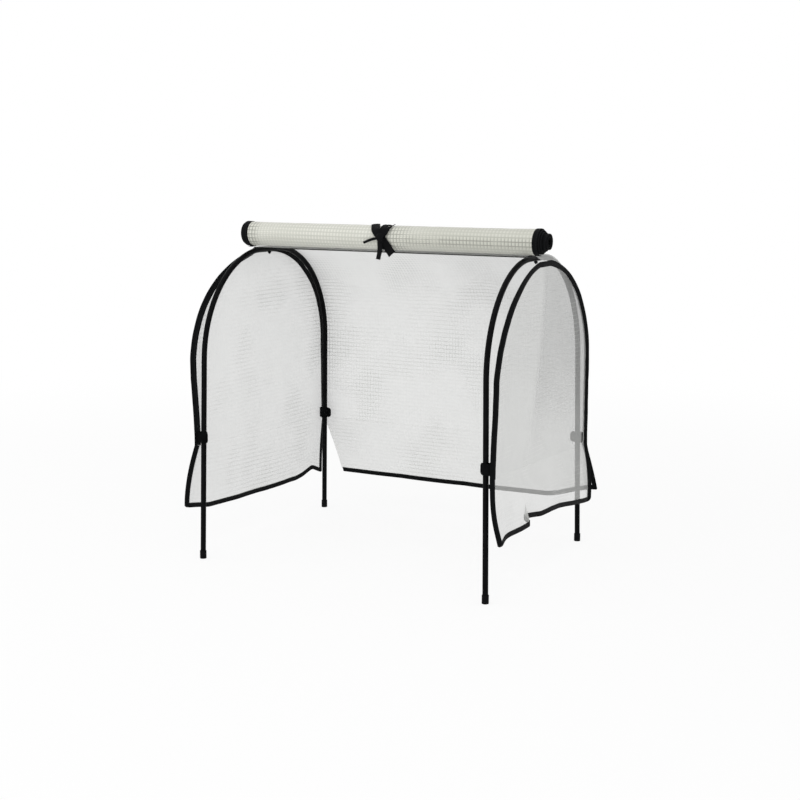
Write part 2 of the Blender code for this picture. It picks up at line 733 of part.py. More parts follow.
def roll_right_end(sweep):
    """Right edge of the rolled flap, whose inner turns stand out further."""
    share = sweep / ROLL_SWEEP
    turns = min(1.0, share / ROLL_TURNS_SHARE)
    core = smooth_step((share - ROLL_TURNS_SHARE) / (ROLL_CORE_SHARE - ROLL_TURNS_SHARE))
    return ROLL_RIGHT_X + ROLL_TURNS_SHIFT * turns + ROLL_CORE_SHIFT * core


def build_roll(film, tape, carrier):
    """The rolled flap and the bound side edges that show at its ends."""
    roll_spiral(
        "front_flap_roll",
        lambda sweep: roll_left_end(sweep) + TAPE_WIDTH + GAP,
        lambda sweep: roll_right_end(sweep) - TAPE_WIDTH - GAP,
        ROLL_SHEET,
        film,
        carrier,
    )
    roll_spiral(
        "roll_left_tape",
        roll_left_end,
        lambda sweep: roll_left_end(sweep) + TAPE_WIDTH,
        TAPE,
        tape,
        carrier,
    )
    roll_spiral(
        "roll_right_tape",
        lambda sweep: roll_right_end(sweep) - TAPE_WIDTH,
        roll_right_end,
        TAPE,
        tape,
        carrier,
    )


def build_flap_lead(film, carrier):
    """The first stretch of the flap, over the front shoulder between the roof sheet and the roll."""
    rise = ROOF_Z + SHEET / 2 - CROWN_HEIGHT
    shoulder = -HALF_FLAT
    runs = spread(shoulder - SHOULDER_RADIUS * (ROLL_LEAN + LEAD_FRONT), shoulder, 4)
    rows = []
    for run in runs:
        point, normal = hoop_point(run)
        point += rise * normal
        rows.append([point + Vector((x, 0.0, 0.0)) for x in spread(ROLL_LEFT_X, ROLL_RIGHT_X, 8)])
    back = Vector((0.0, HOOP_Y - ROOF_FRONT - GAP, ROOF_Z + SHEET / 2))
    rows.append([back + Vector((x, 0.0, 0.0)) for x in spread(ROLL_LEFT_X, ROLL_RIGHT_X, 8)])
    grid_sheet("front_flap_lead", rows, SHEET, film, carrier)


def ribbon_strip(points, width, roll_centre):
    """Rings of a flat ribbon whose face looks away from the roll's axis."""
    rings = []
    for step, point in enumerate(points):
        before = points[max(0, step - 1)]
        after = points[min(len(points) - 1, step + 1)]
        out = point - roll_centre
        out.x = 0.0
        out.normalize()
        side = (after - before).cross(out).normalized() * width / 2
        lift = out * RIBBON / 2
        rings.append([point + side + lift, point - side + lift, point - side - lift, point + side - lift])
    return rings


def build_tie(ribbon, carrier):
    """The ribbon round the roll, and its knot with five loose ends."""
    across = Vector((1.0, 0.0, 0.0))
    drop = ROLL_PITCH / 4 - LOOP_EASE
    lean = Vector((0.0, math.sin(ROLL_LEAN), -math.cos(ROLL_LEAN)))
    centre = Vector((TIE_OFFSET, ROLL_AXIS_Y, ROLL_AXIS_Z)) + drop * lean
    bore = ROLL_RADIUS + GAP - drop
    rings = []
    for step in range(LOOP_STEPS):
        angle = 2 * math.pi * step / LOOP_STEPS - math.pi / 2
        out = Vector((0.0, math.cos(angle), math.sin(angle)))
        half = across * RIBBON_WIDTH / 2
        low = centre + bore * out
        high = centre + (bore + RIBBON) * out
        rings.append([low - half, low + half, high + half, high - half])
    add_piece("tie_loop", skin(rings, joined=True), ribbon, carrier)

    knot_radius = bore + RIBBON + GAP + KNOT_DEPTH / 2
    knot = centre + Vector((0.0, -knot_radius, -KNOT_DROP))
    work = bmesh.new()
    bmesh.ops.create_uvsphere(work, u_segments=12, v_segments=8, radius=0.5)
    bmesh.ops.scale(work, vec=(KNOT_WIDTH, KNOT_DEPTH, KNOT_HEIGHT), verts=work.verts)
    bmesh.ops.translate(work, vec=knot, verts=work.verts)
    mesh = bpy.data.meshes.new("knot")
    work.to_mesh(mesh)
    work.free()
    bow = add_piece("tie_bow", mesh, ribbon, carrier)

    # Each loose end, in ribbon widths: its width, then (sideways, upward, outward) from the knot
    ends = (
        (0.91, ((0.00, 0.00, 0.23), (-0.35, 0.57, 0.23), (-0.74, 1.07, 0.26), (-1.34, 1.63, 0.30))),
        (0.59, ((0.00, 0.00, 0.27), (0.42, 0.60, 0.28), (0.81, 1.18, 0.32), (1.38, 1.74, 0.35))),
        (0.32, ((0.00, 0.00, 0.27), (-0.75, -0.09, 0.27), (-1.69, -0.34, 0.24), (-2.60, -0.71, 0.35))),
        (0.64, ((0.00, 0.00, 0.23), (-0.26, -0.67, 0.30), (-0.52, -1.60, 0.45), (-0.80, -2.75, 0.59))),
        (0.91, ((0.00, 0.00, 0.18), (0.30, -0.45, 0.24), (0.70, -1.24, 0.27), (1.42, -2.09, 0.36))),
    )
    face = bore + RIBBON + GAP
    for number, (width, offsets) in enumerate(ends):
        points = []
        for offset in offsets:
            sideways, upward, outward = (share * RIBBON_WIDTH for share in offset)
            height = upward - KNOT_DROP
            reach = math.sqrt(max(0.0, face * face - height * height))
            if upward < 0:
                reach = max(reach, TAIL_SETBACK * face)
            points.append(centre + Vector((sideways, -reach - outward, height)))
        strip = skin(ribbon_strip(points, width * RIBBON_WIDTH, centre))
        tail = bpy.data.objects.new(f"tie_end_{number}", strip)
        hang(tail, carrier)
        tail.hide_render = True
        tail.display_type = "WIRE"
        bpy.context.scene.collection.objects.link(tail)
        join = bow.modifiers.new(f"end_{number}", "BOOLEAN")
        join.operation = "UNION"
        join.solver = "EXACT"
        join.object = tail


def build_strap(name, x_side, y_side, height, material):
    """A hook-and-loop strap: once round the leg towards the end panel, with its end lapped over."""
    leg = leg_centre(x_side, y_side, height)
    radius = TUBE_RADIUS + STRAP_ROOM + STRAP / 2
    far = END_PANEL_X - TAPE / 2 - GAP - STRAP / 2 - radius
    straight = far - abs(leg.x)
    arc = math.pi * radius
    loop = 2 * (straight + arc)
    total = loop + STRAP_OVERLAP
    inner = []
    outer = []
    for travel in spread(0.0, total, round(total / STRAP_STEP)):
        lift = (STRAP + GAP) * smooth_step((travel - loop + STRAP_RAMP) / STRAP_RAMP)
        turn = travel % loop
        if turn < straight:
            out = turn
            angle = -math.pi / 2
        elif turn < straight + arc:
            out = straight
            angle = -math.pi / 2 + (turn - straight) / radius
        elif turn < 2 * straight + arc:
            out = 2 * straight + arc - turn
            angle = math.pi / 2
        else:
            out = 0.0
            angle = math.pi / 2 + (turn - 2 * straight - arc) / radius
        for row, face in ((inner, -1), (outer, 1)):
            reach = radius + lift + face * STRAP / 2
            x = leg.x + x_side * (out + reach * math.cos(angle))
            row.append((x, leg.y + reach * math.sin(angle)))
    rings = []
    for low, high in zip(inner, outer):
        ring = []
        for (x, y), z_side in ((low, -1), (high, -1), (high, 1), (low, 1)):
            ring.append(Vector((x, y, height + z_side * STRAP_HEIGHT / 2)))
        rings.append(ring)
    add_piece(name, skin(rings), material)


def build_all():
    """The whole cover on its frame."""
    for item in list(bpy.data.objects):
        bpy.data.objects.remove(item)
    make_empty(MIDDLE, Vector((HOOP_X, 0.0, 0.0)))

    steel = make_material("black_powder_coat", (0.012, 0.012, 0.013), 0.42)
    plastic = make_material("black_plastic", (0.016, 0.016, 0.016), 0.55)
    zinc = make_material("blackened_steel", (0.05, 0.05, 0.05), 0.4, metallic=1.0)
    film = make_material("mesh_film", (0.80, 0.82, 0.80), 0.35, alpha=0.55)
    tape = make_material("black_tape", (0.012, 0.012, 0.012), 0.75)
    ribbon = make_material("black_ribbon", (0.010, 0.010, 0.010), 0.8)
    strap = make_material("black_hook_and_loop", (0.014, 0.014, 0.014), 0.9)

    for label, x_side in (("left", -1), ("right", 1)):
        build_hoop(label, x_side, steel)
        build_bolt_and_nut(label, x_side, zinc)
        build_end_panel(label, x_side, film, tape)
        for word, y_side, crease in (("front", -1, CREASE_FRONT_Z), ("back", 1, CREASE_BACK_Z)):
            build_foot_cap(f"{word}_{label}_foot_cap", x_side, y_side, plastic)
            build_strap(f"{word}_{label}_strap", x_side, y_side, crease + STRAP_RISE, strap)
        axis = Vector((x_side * ROOF_HALF_WIDTH, CREASE_FRONT_Y, CREASE_FRONT_Z))
        hinge = make_empty(f"{label}_skirt_hinge", axis)
        build_skirt(
            label,
            lambda along, drop: side_skirt_point(x_side, along, drop),
            CREASE_LENGTH,
            SIDE_SKIRT_COLUMNS,
            True,
            film,
            tape,
            hinge,
        )
    build_ridge_tube(steel)
    build_roof_and_back(film)
    hinge = make_empty("back_skirt_hinge", Vector((0.0, BACK_SKIRT_Y + TAPE / 2, CREASE_BACK_Z)))
    width = 2 * ROOF_HALF_WIDTH
    build_skirt("back", back_skirt_point, width, BACK_SKIRT_COLUMNS, False, film, tape, hinge)

    shoulder = Vector((0.0, SHOULDER_Y, SHOULDER_Z))
    build_flap_lead(film, make_empty("front_flap_hinge", shoulder))
    roll_axis = make_empty("front_flap_slide", Vector((0.0, ROLL_AXIS_Y, ROLL_AXIS_Z)))
    build_roll(film, tape, roll_axis)
    build_tie(ribbon, roll_axis)


build_all()
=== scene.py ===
"""Dressed model of a mesh tunnel cover for a raised planter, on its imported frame. Metres."""

import functools
import math

import bmesh
import bpy
from mathutils import Matrix, Vector, noise


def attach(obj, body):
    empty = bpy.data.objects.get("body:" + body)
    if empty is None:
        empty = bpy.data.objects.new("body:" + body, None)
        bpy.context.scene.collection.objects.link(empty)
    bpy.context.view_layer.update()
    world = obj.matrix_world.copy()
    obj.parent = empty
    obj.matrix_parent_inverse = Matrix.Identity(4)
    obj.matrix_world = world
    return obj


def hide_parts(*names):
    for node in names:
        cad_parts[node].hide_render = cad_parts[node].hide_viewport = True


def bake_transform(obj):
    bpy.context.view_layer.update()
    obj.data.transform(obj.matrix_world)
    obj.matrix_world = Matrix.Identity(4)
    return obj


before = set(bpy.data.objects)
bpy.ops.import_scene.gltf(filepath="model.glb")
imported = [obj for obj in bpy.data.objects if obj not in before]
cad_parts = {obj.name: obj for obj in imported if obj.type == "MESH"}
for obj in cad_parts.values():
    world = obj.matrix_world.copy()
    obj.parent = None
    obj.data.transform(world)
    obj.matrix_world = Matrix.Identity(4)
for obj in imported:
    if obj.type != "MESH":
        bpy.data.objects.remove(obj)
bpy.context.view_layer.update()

# Sizes of the frame and the cover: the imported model's, but for the sags, the arch tapes' widths, the
# tie's place, the roll's right end and the flap's right edge. In a table by side, -1 is left.
GAP = 0.0003
TILT_ROOM = 0.0005
TUBE_RADIUS = 0.008
TUBE_WALL = 0.001
TUBE_SIDES = 28
BEND_STEPS = 32
HOOP_DEPTH = 0.700
HOOP_SPAN = 0.890
CROWN_HEIGHT = 0.9088
SHOULDER_RADIUS = 0.310
LEG_SPLAY = math.radians(0.85)
HOOP_LEAN = math.radians(1.08)
LEG_JOINT_HEIGHT = 0.354
SPIGOT_LENGTH = 0.030
SWAGE = 0.002
CAP_RADIUS = 0.0098
CAP_HEIGHT = 0.024
CAP_FLOOR = 0.003
CAP_ROUND = 0.0007
RIDGE_RADIUS = 0.005
TAB_THICKNESS = 0.0016
TAB_WIDTH = 0.0155
TAB_SETBACK = 0.016
TAB_NECK = 0.018
TAPE = 0.0024
TAPE_WIDTH = 0.015
ARCH_TAPE_WIDTH = {-1: 0.0185, 1: 0.016}
SHEET = 0.0015
END_PANEL_X = HOOP_SPAN / 2 + 0.0285
ROOF_HALF_WIDTH = END_PANEL_X + TAPE / 2
COVER_RISE = TUBE_RADIUS + 0.0038
BACK_SLACK = 0.016
CROWN_FALL = {-1: 0.006, 1: 0.019}
FRONT_SAG = {-1: 0.018, 1: 0.021}
BACK_SAG = {-1: 0.0, 1: 0.015}
LEG_FALL = {-1: -0.018, 1: 0.013}
FRONT_EDGE_TURN = math.radians(52)
BACK_EDGE_TURN = math.radians(42)
PLEAT_DEPTH = 0.014
PLEAT_PLACE = 0.129
PLEAT_SLANT = 0.13
PLEAT_RISE = 0.26
PLEAT_DROP = 0.05
ROOF_FALL_START = 0.004
ROOF_TOUCH_START = 0.33
ROOF_TOUCH_SLACK = 0.0025
CREASE_FRONT_Z = 0.345
CREASE_BACK_Z = 0.310
SKIRT_DROP = 0.190
ROOF_FRONT = 0.018
SIDE_FLARE = {-1: (0.042, 0.018), 1: (0.027, 0.014)}
SIDE_BULGE = {-1: 0.002, 1: 0.026}
SIDE_BACK_BULGE = {-1: 0.0, 1: 0.012}
BULGE_REACH = 0.06
SIDE_BACK_SLANT = 0.010
BACK_FLARE = 0.030
BACK_SHIFT = (0.055, 0.031)
BACK_RIGHT_LIFT = 0.038
HEM_LIFT = {
    -1: (
        (0.0, -0.003), (0.08, -0.013), (0.15, -0.0215), (0.23, -0.0215), (0.385, -0.0205), (0.546, -0.0195),
        (0.731, -0.0125), (0.787, -0.012), (0.843, -0.005), (0.918, 0.0135), (0.985, -0.005), (1.0, -0.006),
    ),
    1: (
        (0.0, 0.006), (0.043, 0.017), (0.109, 0.022), (0.207, 0.023), (0.268, 0.0255), (0.281, 0.050),
        (0.318, 0.044), (0.412, 0.037), (0.522, 0.038), (0.636, 0.0315), (0.816, 0.017), (1.0, 0.002),
    ),
}
HEM_FOLD = 0.274
HEM_FOLD_WIDTH = 0.012
HEM_FOLD_LAP = 0.018
HEM_CORNER = {"right": 0.016}
SQUARE_CORNER = 0.004
FLARE_POWER = 1.6
ROLL_RADIUS = 0.038
ROLL_CORE_RADIUS = 0.012
ROLL_TURNS = 6
ROLL_STEPS = ROLL_TURNS * 40
ROLL_LEFT_X = -END_PANEL_X + 0.0005
ROLL_LEFT_TAPE = 0.019
ROLL_RIGHT_X = END_PANEL_X + 0.0195
ROLL_LEFT_SHIFT = 0.0095
ROLL_TURNS_SHIFT = 0.0140
ROLL_CORE_SHIFT = 0.0120
ROLL_TAPE_RIM = 0.0012
ROLL_LEAN = math.radians(7)
WRAP_TURN = math.radians(79)
PAYOUT_START = math.radians(2)
PAYOUT_REST = 0.012
PAYOUT_LENGTH = 0.442
FLAP_RIGHT_X = END_PANEL_X - 0.006
RIBBON_WIDTH = 0.022
RIBBON = 0.0012
TIE_X = 0.015
STRAP = 0.0013
STRAP_HEIGHT = 0.032
STRAP_RISE = 0.0245
STRAP_LAP = 0.016
STRAP_TAB = {"front_left": 0.005, "front_right": 0.007, "back_left": 0.015, "back_right": 0.015}
# Each of the tie's loose ends: its width, how much of it is left at its tip, and its line from the
# knot, in millimetres to the right of it, up, and out from the roll
TIE_TAILS = (
    (0.027, 0.95, ((0, 0, 4), (-9.5, 12.6, 5), (-20, 23.6, 6), (-34, 37, 7))),
    (0.018, 0.14, ((0, 0, 6), (9.2, 13.1, 6), (17.9, 25.9, 7), (30.3, 38.3, 9))),
    (0.008, 0.90, ((0, 0, 6), (-16.4, -2, 6), (-37, -7.5, 5), (-57, -15.6, 8))),
    (0.019, 0.95, ((0, 0, 5), (-3, -14.7, 7), (-5.5, -35, 10), (-9.8, -62.5, 13))),
    (0.026, 0.98, ((0, 0, 4), (7.5, -10, 5), (17.2, -27.3, 6), (33.2, -47, 8))),
)
# The two bands of its knot: their slant, width and half length
KNOT_BANDS = ((0.55, 0.018, 0.012), (-0.75, 0.014, 0.0135))

# Places worked out from the sizes
HOOP_X = -0.00215
HOOP_Y = -0.01752652
HALF_FLAT = HOOP_DEPTH / 2 - SHOULDER_RADIUS
BEND = math.pi / 2 - LEG_SPLAY
BEND_RUN = HALF_FLAT + SHOULDER_RADIUS * BEND
SHOULDER_Y = HOOP_Y - HALF_FLAT
SHOULDER_Z = CROWN_HEIGHT - SHOULDER_RADIUS
BEND_END_Z = SHOULDER_Z + SHOULDER_RADIUS * math.sin(LEG_SPLAY)
ROOF_Z = CROWN_HEIGHT + COVER_RISE + GAP
ROLL_REACH = ROOF_Z + SHEET + RIBBON + 2 * GAP + ROLL_RADIUS - SHOULDER_Z
ROLL_AXIS_Y = SHOULDER_Y - ROLL_REACH * math.sin(ROLL_LEAN)
ROLL_AXIS_Z = SHOULDER_Z + ROLL_REACH * math.cos(ROLL_LEAN)
ROLL_PITCH = (ROLL_RADIUS - ROLL_CORE_RADIUS) / ROLL_TURNS
ROLL_SWEEP = 2 * math.pi * ROLL_TURNS
TAB_TOP = CROWN_HEIGHT + TUBE_RADIUS + GAP + TAB_THICKNESS

# The film's reinforcing grid, and how far in from a bound edge the film starts
GRID_ACROSS = 0.0105
GRID_UP = 0.0125
SEAM = 0.003
FILM_INSET = TAPE_WIDTH - SEAM


# Materials


def srgb(code):
    """Linear colour, with alpha, from an sRGB hex value."""
    levels = [int(code[i:i + 2], 16) / 255 for i in (1, 3, 5)]
    return tuple(v / 12.92 if v <= 0.04045 else ((v + 0.055) / 1.055) ** 2.4 for v in levels) + (1.0,)


def add_node(tree, kind, links=None, **settings):
    """Add a node with its settings, give its inputs a value or another node's output, and return
    its outputs."""
    node = tree.nodes.new("ShaderNode" + kind)
    for name, value in settings.items():
        setattr(node, name, value)
    for name, value in (links or {}).items():
        if isinstance(value, bpy.types.NodeSocket):
            tree.links.new(value, node.inputs[name])
        else:
            node.inputs[name].default_value = value
    return node.outputs


def new_material(name):
    """A material and its empty node tree."""
    material = bpy.data.materials.new(name)
    material.use_nodes = True
    material.node_tree.nodes.clear()
    return material, material.node_tree


def thread_mask(tree, across, width):
    """Bright along threads at whole numbers of a coordinate, with soft edges."""
    part = add_node(tree, "Math", {0: across}, operation="FRACT")[0]
    away = add_node(tree, "Math", {0: part, 1: 0.5}, operation="SUBTRACT")[0]
    size = add_node(tree, "Math", {0: away}, operation="ABSOLUTE")[0]
    edge = {0: size, 1: 0.5 - width, 2: 0.5 - width / 2}
    return add_node(tree, "MapRange", edge, interpolation_type="SMOOTHSTEP")[0]


def weave_mask(tree, across, along, width, shift=(0.0, 0.0, 0.0), turn=0.0):
    """Bright along threads both ways, with soft edges, at distances apart on the flat cut."""
    uv = add_node(tree, "UVMap", uv_map="cloth")[0]
    place = {0: uv, 1: shift, 2: (0.0, 0.0, turn), 3: (1 / across, 1 / along, 1.0)}
    parts = add_node(tree, "SeparateXYZ", {0: add_node(tree, "Mapping", place)[0]})
    masks = {number: thread_mask(tree, parts[number], width) for number in (0, 1)}
    return add_node(tree, "Math", masks, operation="MAXIMUM")[0]


def soft_patch(tree, *edges):
    """Bright where all of some values are past their edges. Each rises softly from 0 to its most
    between a low and a high bound, or falls where the high bound is the lower one."""
    patch = 1.0
    for value, low, high, most in edges:
        edge = {0: value, 1: low, 2: high, 4: most}
        rise = add_node(tree, "MapRange", edge, interpolation_type="SMOOTHSTEP")[0]
        patch = add_node(tree, "Math", {0: patch, 1: rise}, operation="MULTIPLY")[0]
    return patch


def finish_material(material, ground, layers, relief, inputs):
    """Lay colours over a ground, each by a share, and add the shader, with a relief given as its
    height, strength and depth, and the output."""
    tree = material.node_tree
    colour = srgb(ground)
    for share, code in layers:
        colour = add_node(tree, "Mix", {0: share, 6: colour, 7: srgb(code)}, data_type="RGBA")[2]
    height, strength, depth = relief
    bump = add_node(tree, "Bump", {"Height": height, "Strength": strength, "Distance": depth})[0]
    shader = add_node(tree, "BsdfPrincipled", {"Base Color": colour, "Normal": bump, **inputs})[0]
    add_node(tree, "OutputMaterial", {0: shader})
    return material


def make_film():
    """Grid-reinforced polyethylene film: clear enough to see the frame through, and milky against
    the light, with denser threads every centimetre that show in some places more than in others."""
    material, tree = new_material("grid_reinforced_polyethylene_film")
    mask = weave_mask(tree, GRID_ACROSS, GRID_UP, 0.14)
    place = add_node(tree, "TexCoord")["Object"]
    cloud = add_node(tree, "TexNoise", {"Vector": place, "Scale": 26.0, "Detail": 3.0})[0]
    milk = add_node(tree, "MapRange", {0: cloud, 1: 0.3, 2: 0.7, 3: 0.50, 4: 0.525})[0]
    patch = add_node(tree, "TexNoise", {"Vector": place, "Scale": 5.0, "Detail": 2.0})[0]
    strong = add_node(tree, "MapRange", {0: patch, 1: 0.45, 2: 0.66, 3: 0.05, 4: 0.30})[0]
    alpha = add_node(tree, "Math", {0: mask, 1: strong, 2: milk}, operation="MULTIPLY_ADD")[0]
    # Painted shade: the film's colour is darkened towards the upper back right, behind the right panel's
    # pleat
    spot = add_node(tree, "SeparateXYZ", {0: place})
    behind = add_node(tree, "Math", {0: spot[2], 1: -0.23, 2: spot[1]}, operation="MULTIPLY_ADD")[0]
    edges = ((spot[0], -0.15, 0.40, 1.0), (behind, -0.25, -0.205, 1.0), (spot[2], 0.28, 0.66, 1.0))
    layers = ((mask, "#CFD0CD"), (soft_patch(tree, *edges), "#B5B6B4"))
    height = add_node(tree, "Math", {0: mask, 1: 0.5, 2: cloud}, operation="MULTIPLY_ADD")[0]
    inputs = {"Alpha": alpha, "Roughness": 0.38, "IOR": 1.5}
    return finish_material(material, "#D8D9D7", layers, (height, 0.2, 0.0006), inputs)


def make_rolled_film():
    """The same film in many layers: an opaque ivory white, with the grids of two layers showing."""
    material, tree = new_material("rolled_polyethylene_film")
    upper = weave_mask(tree, GRID_ACROSS, GRID_UP, 0.14)
    lower = weave_mask(tree, GRID_ACROSS, GRID_UP, 0.2, shift=(0.4, 0.3, 0.0), turn=0.02)
    place = add_node(tree, "TexCoord")["Object"]
    cloud = add_node(tree, "TexNoise", {"Vector": place, "Scale": 18.0, "Detail": 3.0})[0]
    deep = add_node(tree, "Math", {0: lower, 1: 0.45}, operation="MULTIPLY")[0]
    near = add_node(tree, "Math", {0: upper, 1: 0.6}, operation="MULTIPLY")[0]
    # The threads of the inner turns show darker where it is drawn tight: beside the left binding, right of
    # the knot, and in a band along the right half. The right half is also darker as a whole, which is
    # painted shade
    spot = add_node(tree, "SeparateXYZ", {0: place})
    tight = soft_patch(tree, (spot[0], -0.40, -0.435, 1.0))
    knot = ((spot[0], 0.02, 0.035, 1.0), (spot[0], 0.13, 0.04, 0.8))
    band = (
        (spot[2], ROLL_AXIS_Z - 0.026, ROLL_AXIS_Z - 0.008, 0.75),
        (spot[2], ROLL_AXIS_Z + 0.018, ROLL_AXIS_Z, 1.0),
        (spot[0], 0.03, 0.10, 1.0),
    )
    for edges in (knot, band):
        tight = add_node(tree, "Math", {0: tight, 1: soft_patch(tree, *edges)}, operation="MAXIMUM")[0]
    for share in (soft_patch(tree, (cloud, 0.25, 0.5, 1.0)), upper):
        tight = add_node(tree, "Math", {0: tight, 1: share}, operation="MULTIPLY")[0]
    # Painted shade: the roll's right half darkened as a whole
    slack = soft_patch(tree, (spot[0], -0.05, 0.25, 0.34))
    layers = (
        (cloud, "#DADAD2"), (deep, "#B4B5AA"), (near, "#B6B7AD"), (slack, "#A3A498"), (tight, "#82837A"),
    )
    inputs = {"Roughness": 0.42, "IOR": 1.5}
    return finish_material(material, "#CFCFC5", layers, (upper, 0.4, 0.0006), inputs)


def make_woven(name, ground, thread, rib, roughness, stitched):
    """Woven black polyester, as binding tape or ribbon: fine ribs across its length, a soft sheen,
    and on the binding one row of stitches near its inner edge. The ribs are drawn coarser than real
    ones, which are too fine to show."""
    material, tree = new_material(name)
    weave = weave_mask(tree, rib, 2 * rib, 0.4)
    place = add_node(tree, "TexCoord")["Object"]
    dust = add_node(tree, "TexNoise", {"Vector": place, "Scale": 90.0, "Detail": 4.0})[0]
    share = add_node(tree, "Math", {0: weave, 1: 0.4, 2: dust}, operation="MULTIPLY_ADD")[0]
    layers = [(share, thread)]
    height = weave
    if stitched:
        uv = add_node(tree, "UVMap", uv_map="cloth")[0]
        parts = add_node(tree, "SeparateXYZ", {0: uv})
        step = add_node(tree, "Math", {0: parts[0], 1: 1 / 0.0045}, operation="MULTIPLY")[0]
        dash = add_node(tree, "Math", {0: 1.0, 1: thread_mask(tree, step, 0.22)}, operation="SUBTRACT")[0]
        off = add_node(tree, "Math", {0: parts[1], 1: TAPE_WIDTH - 0.0022}, operation="SUBTRACT")[0]
        away = add_node(tree, "Math", {0: off}, operation="ABSOLUTE")[0]
        line = add_node(tree, "MapRange", {0: away, 1: 0.0008, 2: 0.0004})[0]
        stitch = add_node(tree, "Math", {0: line, 1: dash}, operation="MULTIPLY")[0]
        layers.append((stitch, "#222325"))
        height = add_node(tree, "Math", {0: stitch, 1: 2.0, 2: weave}, operation="MULTIPLY_ADD")[0]
    inputs = {"Roughness": roughness, "Specular IOR Level": 0.04, "Sheen Weight": 0.02}
    return finish_material(material, ground, layers, (height, 0.5, 0.0004), inputs)


def make_speckled(name, dark, light, scale, roughness, metallic=0.0, relief=(0.2, 0.0003), gloss=0.15):
    """A finish with fine grain: the orange peel of powder coat, or the texture of a mould."""
    material, tree = new_material(name)
    place = add_node(tree, "TexCoord")["Object"]
    grain = add_node(tree, "TexNoise", {"Vector": place, "Scale": scale, "Detail": 5.0})[0]
    wear = add_node(tree, "TexNoise", {"Vector": place, "Scale": scale / 14, "Detail": 3.0})[0]
    share = add_node(tree, "MapRange", {0: wear, 1: 0.42, 2: 0.78})[0]
    limits = {0: wear, 1: 0.2, 2: 0.8, 3: roughness - 0.06, 4: roughness + 0.08}
    rough = add_node(tree, "MapRange", limits)[0]
    inputs = {"Roughness": rough, "Metallic": metallic, "Specular IOR Level": gloss}
    return finish_material(material, dark, [(share, light)], (grain, *relief), inputs)


FILM = make_film()
ROLLED_FILM = make_rolled_film()
# Polyester binding tape: a dull black with a fine rib and a row of stitches
BINDING = make_woven("black_polyester_binding", "#050606", "#0E0F10", 0.0012, 0.72, True)
# Polyester grosgrain: closer ribs, and a little more light on its folds
GROSGRAIN = make_woven("black_grosgrain_ribbon", "#050606", "#0E0E10", 0.0010, 0.62, False)
# Powder coat on steel tube: near black and satin, with a fine orange peel
POWDER_COAT = make_speckled("black_powder_coat", "#060607", "#0D0E0F", 900.0, 0.36, gloss=0.04)
# Moulded polyethylene: duller than the tube, with the grain of its mould
CAP_PLASTIC = make_speckled(
    "moulded_black_polyethylene", "#08080A", "#121213", 700.0, 0.55, relief=(0.3, 0.0003), gloss=0.05
)
# Zinc blackened in a bath: dark metal with a dull shine
BLACK_ZINC = make_speckled("blackened_zinc", "#131416", "#222326", 500.0, 0.42, metallic=1.0)
# Hook-and-loop tape: a matt black pile that takes no highlight
HOOK_AND_LOOP = make_speckled(
    "black_hook_and_loop", "#070708", "#101112", 420.0, 0.92, relief=(0.9, 0.0009), gloss=0.05
)


# Making and finishing pieces


def deselect():
    """Leave edit mode with nothing selected, and choose points as what edit mode selects."""
    if bpy.context.mode != "OBJECT":
        bpy.ops.object.mode_set(mode="OBJECT")
    bpy.ops.object.select_all(action="DESELECT")
    bpy.context.tool_settings.mesh_select_mode = (True, False, False)


def pick(piece):
    """Leave edit mode with just one piece selected and active."""
    deselect()
    piece.select_set(True)
    bpy.context.view_layer.objects.active = piece


def finish(piece, material, body, nodes, smooth=40.0):
    """Give a modelled piece its place in its mesh, its finish, its body and what it stands for."""
    pick(piece)
    bpy.ops.object.transform_apply(location=True, rotation=True, scale=True)
    piece.data.transform(Matrix.Translation((HOOP_X, 0.0, 0.0)))
    piece.data.shade_smooth()
    piece.data.set_sharp_from_angle(angle=math.radians(smooth))
    piece.data.materials.clear()
    piece.data.materials.append(material)
    if body is not None:
        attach(piece, body)
    if nodes:
        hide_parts(*nodes)
    piece.select_set(False)
    return piece


def add_object(name, data):
    """An object of some data, in the scene."""
    item = bpy.data.objects.new(name, data)
    bpy.context.scene.collection.objects.link(item)
    return item


def mesh_piece(name, pairs, faces):
    """A piece from pairs of a point and its UV value, and faces."""
    mesh = bpy.data.meshes.new(name)
    mesh.from_pydata([tuple(point) for point, _ in pairs], [], faces)
    layer = mesh.uv_layers.new(name="cloth")
    for loop in mesh.loops:
        layer.data[loop.index].uv = pairs[loop.vertex_index][1]
    return add_object(name, mesh)


def grid_piece(name, rows, flip=False):
    """A single sheet of cloth through rows of points, each paired with its place in the flat cut."""
    width = len(rows[0])
    faces = []
    for row in range(len(rows) - 1):
        for column in range(width - 1):
            low = row * width + column
            face = (low, low + 1, low + width + 1, low + width)
            faces.append(face[::-1] if flip else face)
    return mesh_piece(name, sum(rows, []), faces)


def rings_piece(name, rings, closed=False):
    """A closed skin through rings of such pairs, its faces turned outward."""
    count = len(rings[0])
    last = (len(rings) - 1) * count
    faces = []
    for span in range(len(rings) if closed else len(rings) - 1):
        low = span * count
        high = (span + 1) % len(rings) * count
        for side in range(count):
            turn = (side + 1) % count
            faces.append((low + side, low + turn, high + turn, high + side))
    if not closed:
        faces += [tuple(range(count)), tuple(range(last, last + count))[::-1]]
    piece = mesh_piece(name, sum(rings, []), faces)
    work = bmesh.new()
    work.from_mesh(piece.data)
    bmesh.ops.recalc_face_normals(work, faces=work.faces)
    work.to_mesh(piece.data)
    work.free()
    return piece


def both_faces(upper):
    """A closed outline from its upper half, given as places across it and heights."""
    return [*upper, *((across, -height) for across, height in reversed(upper))]


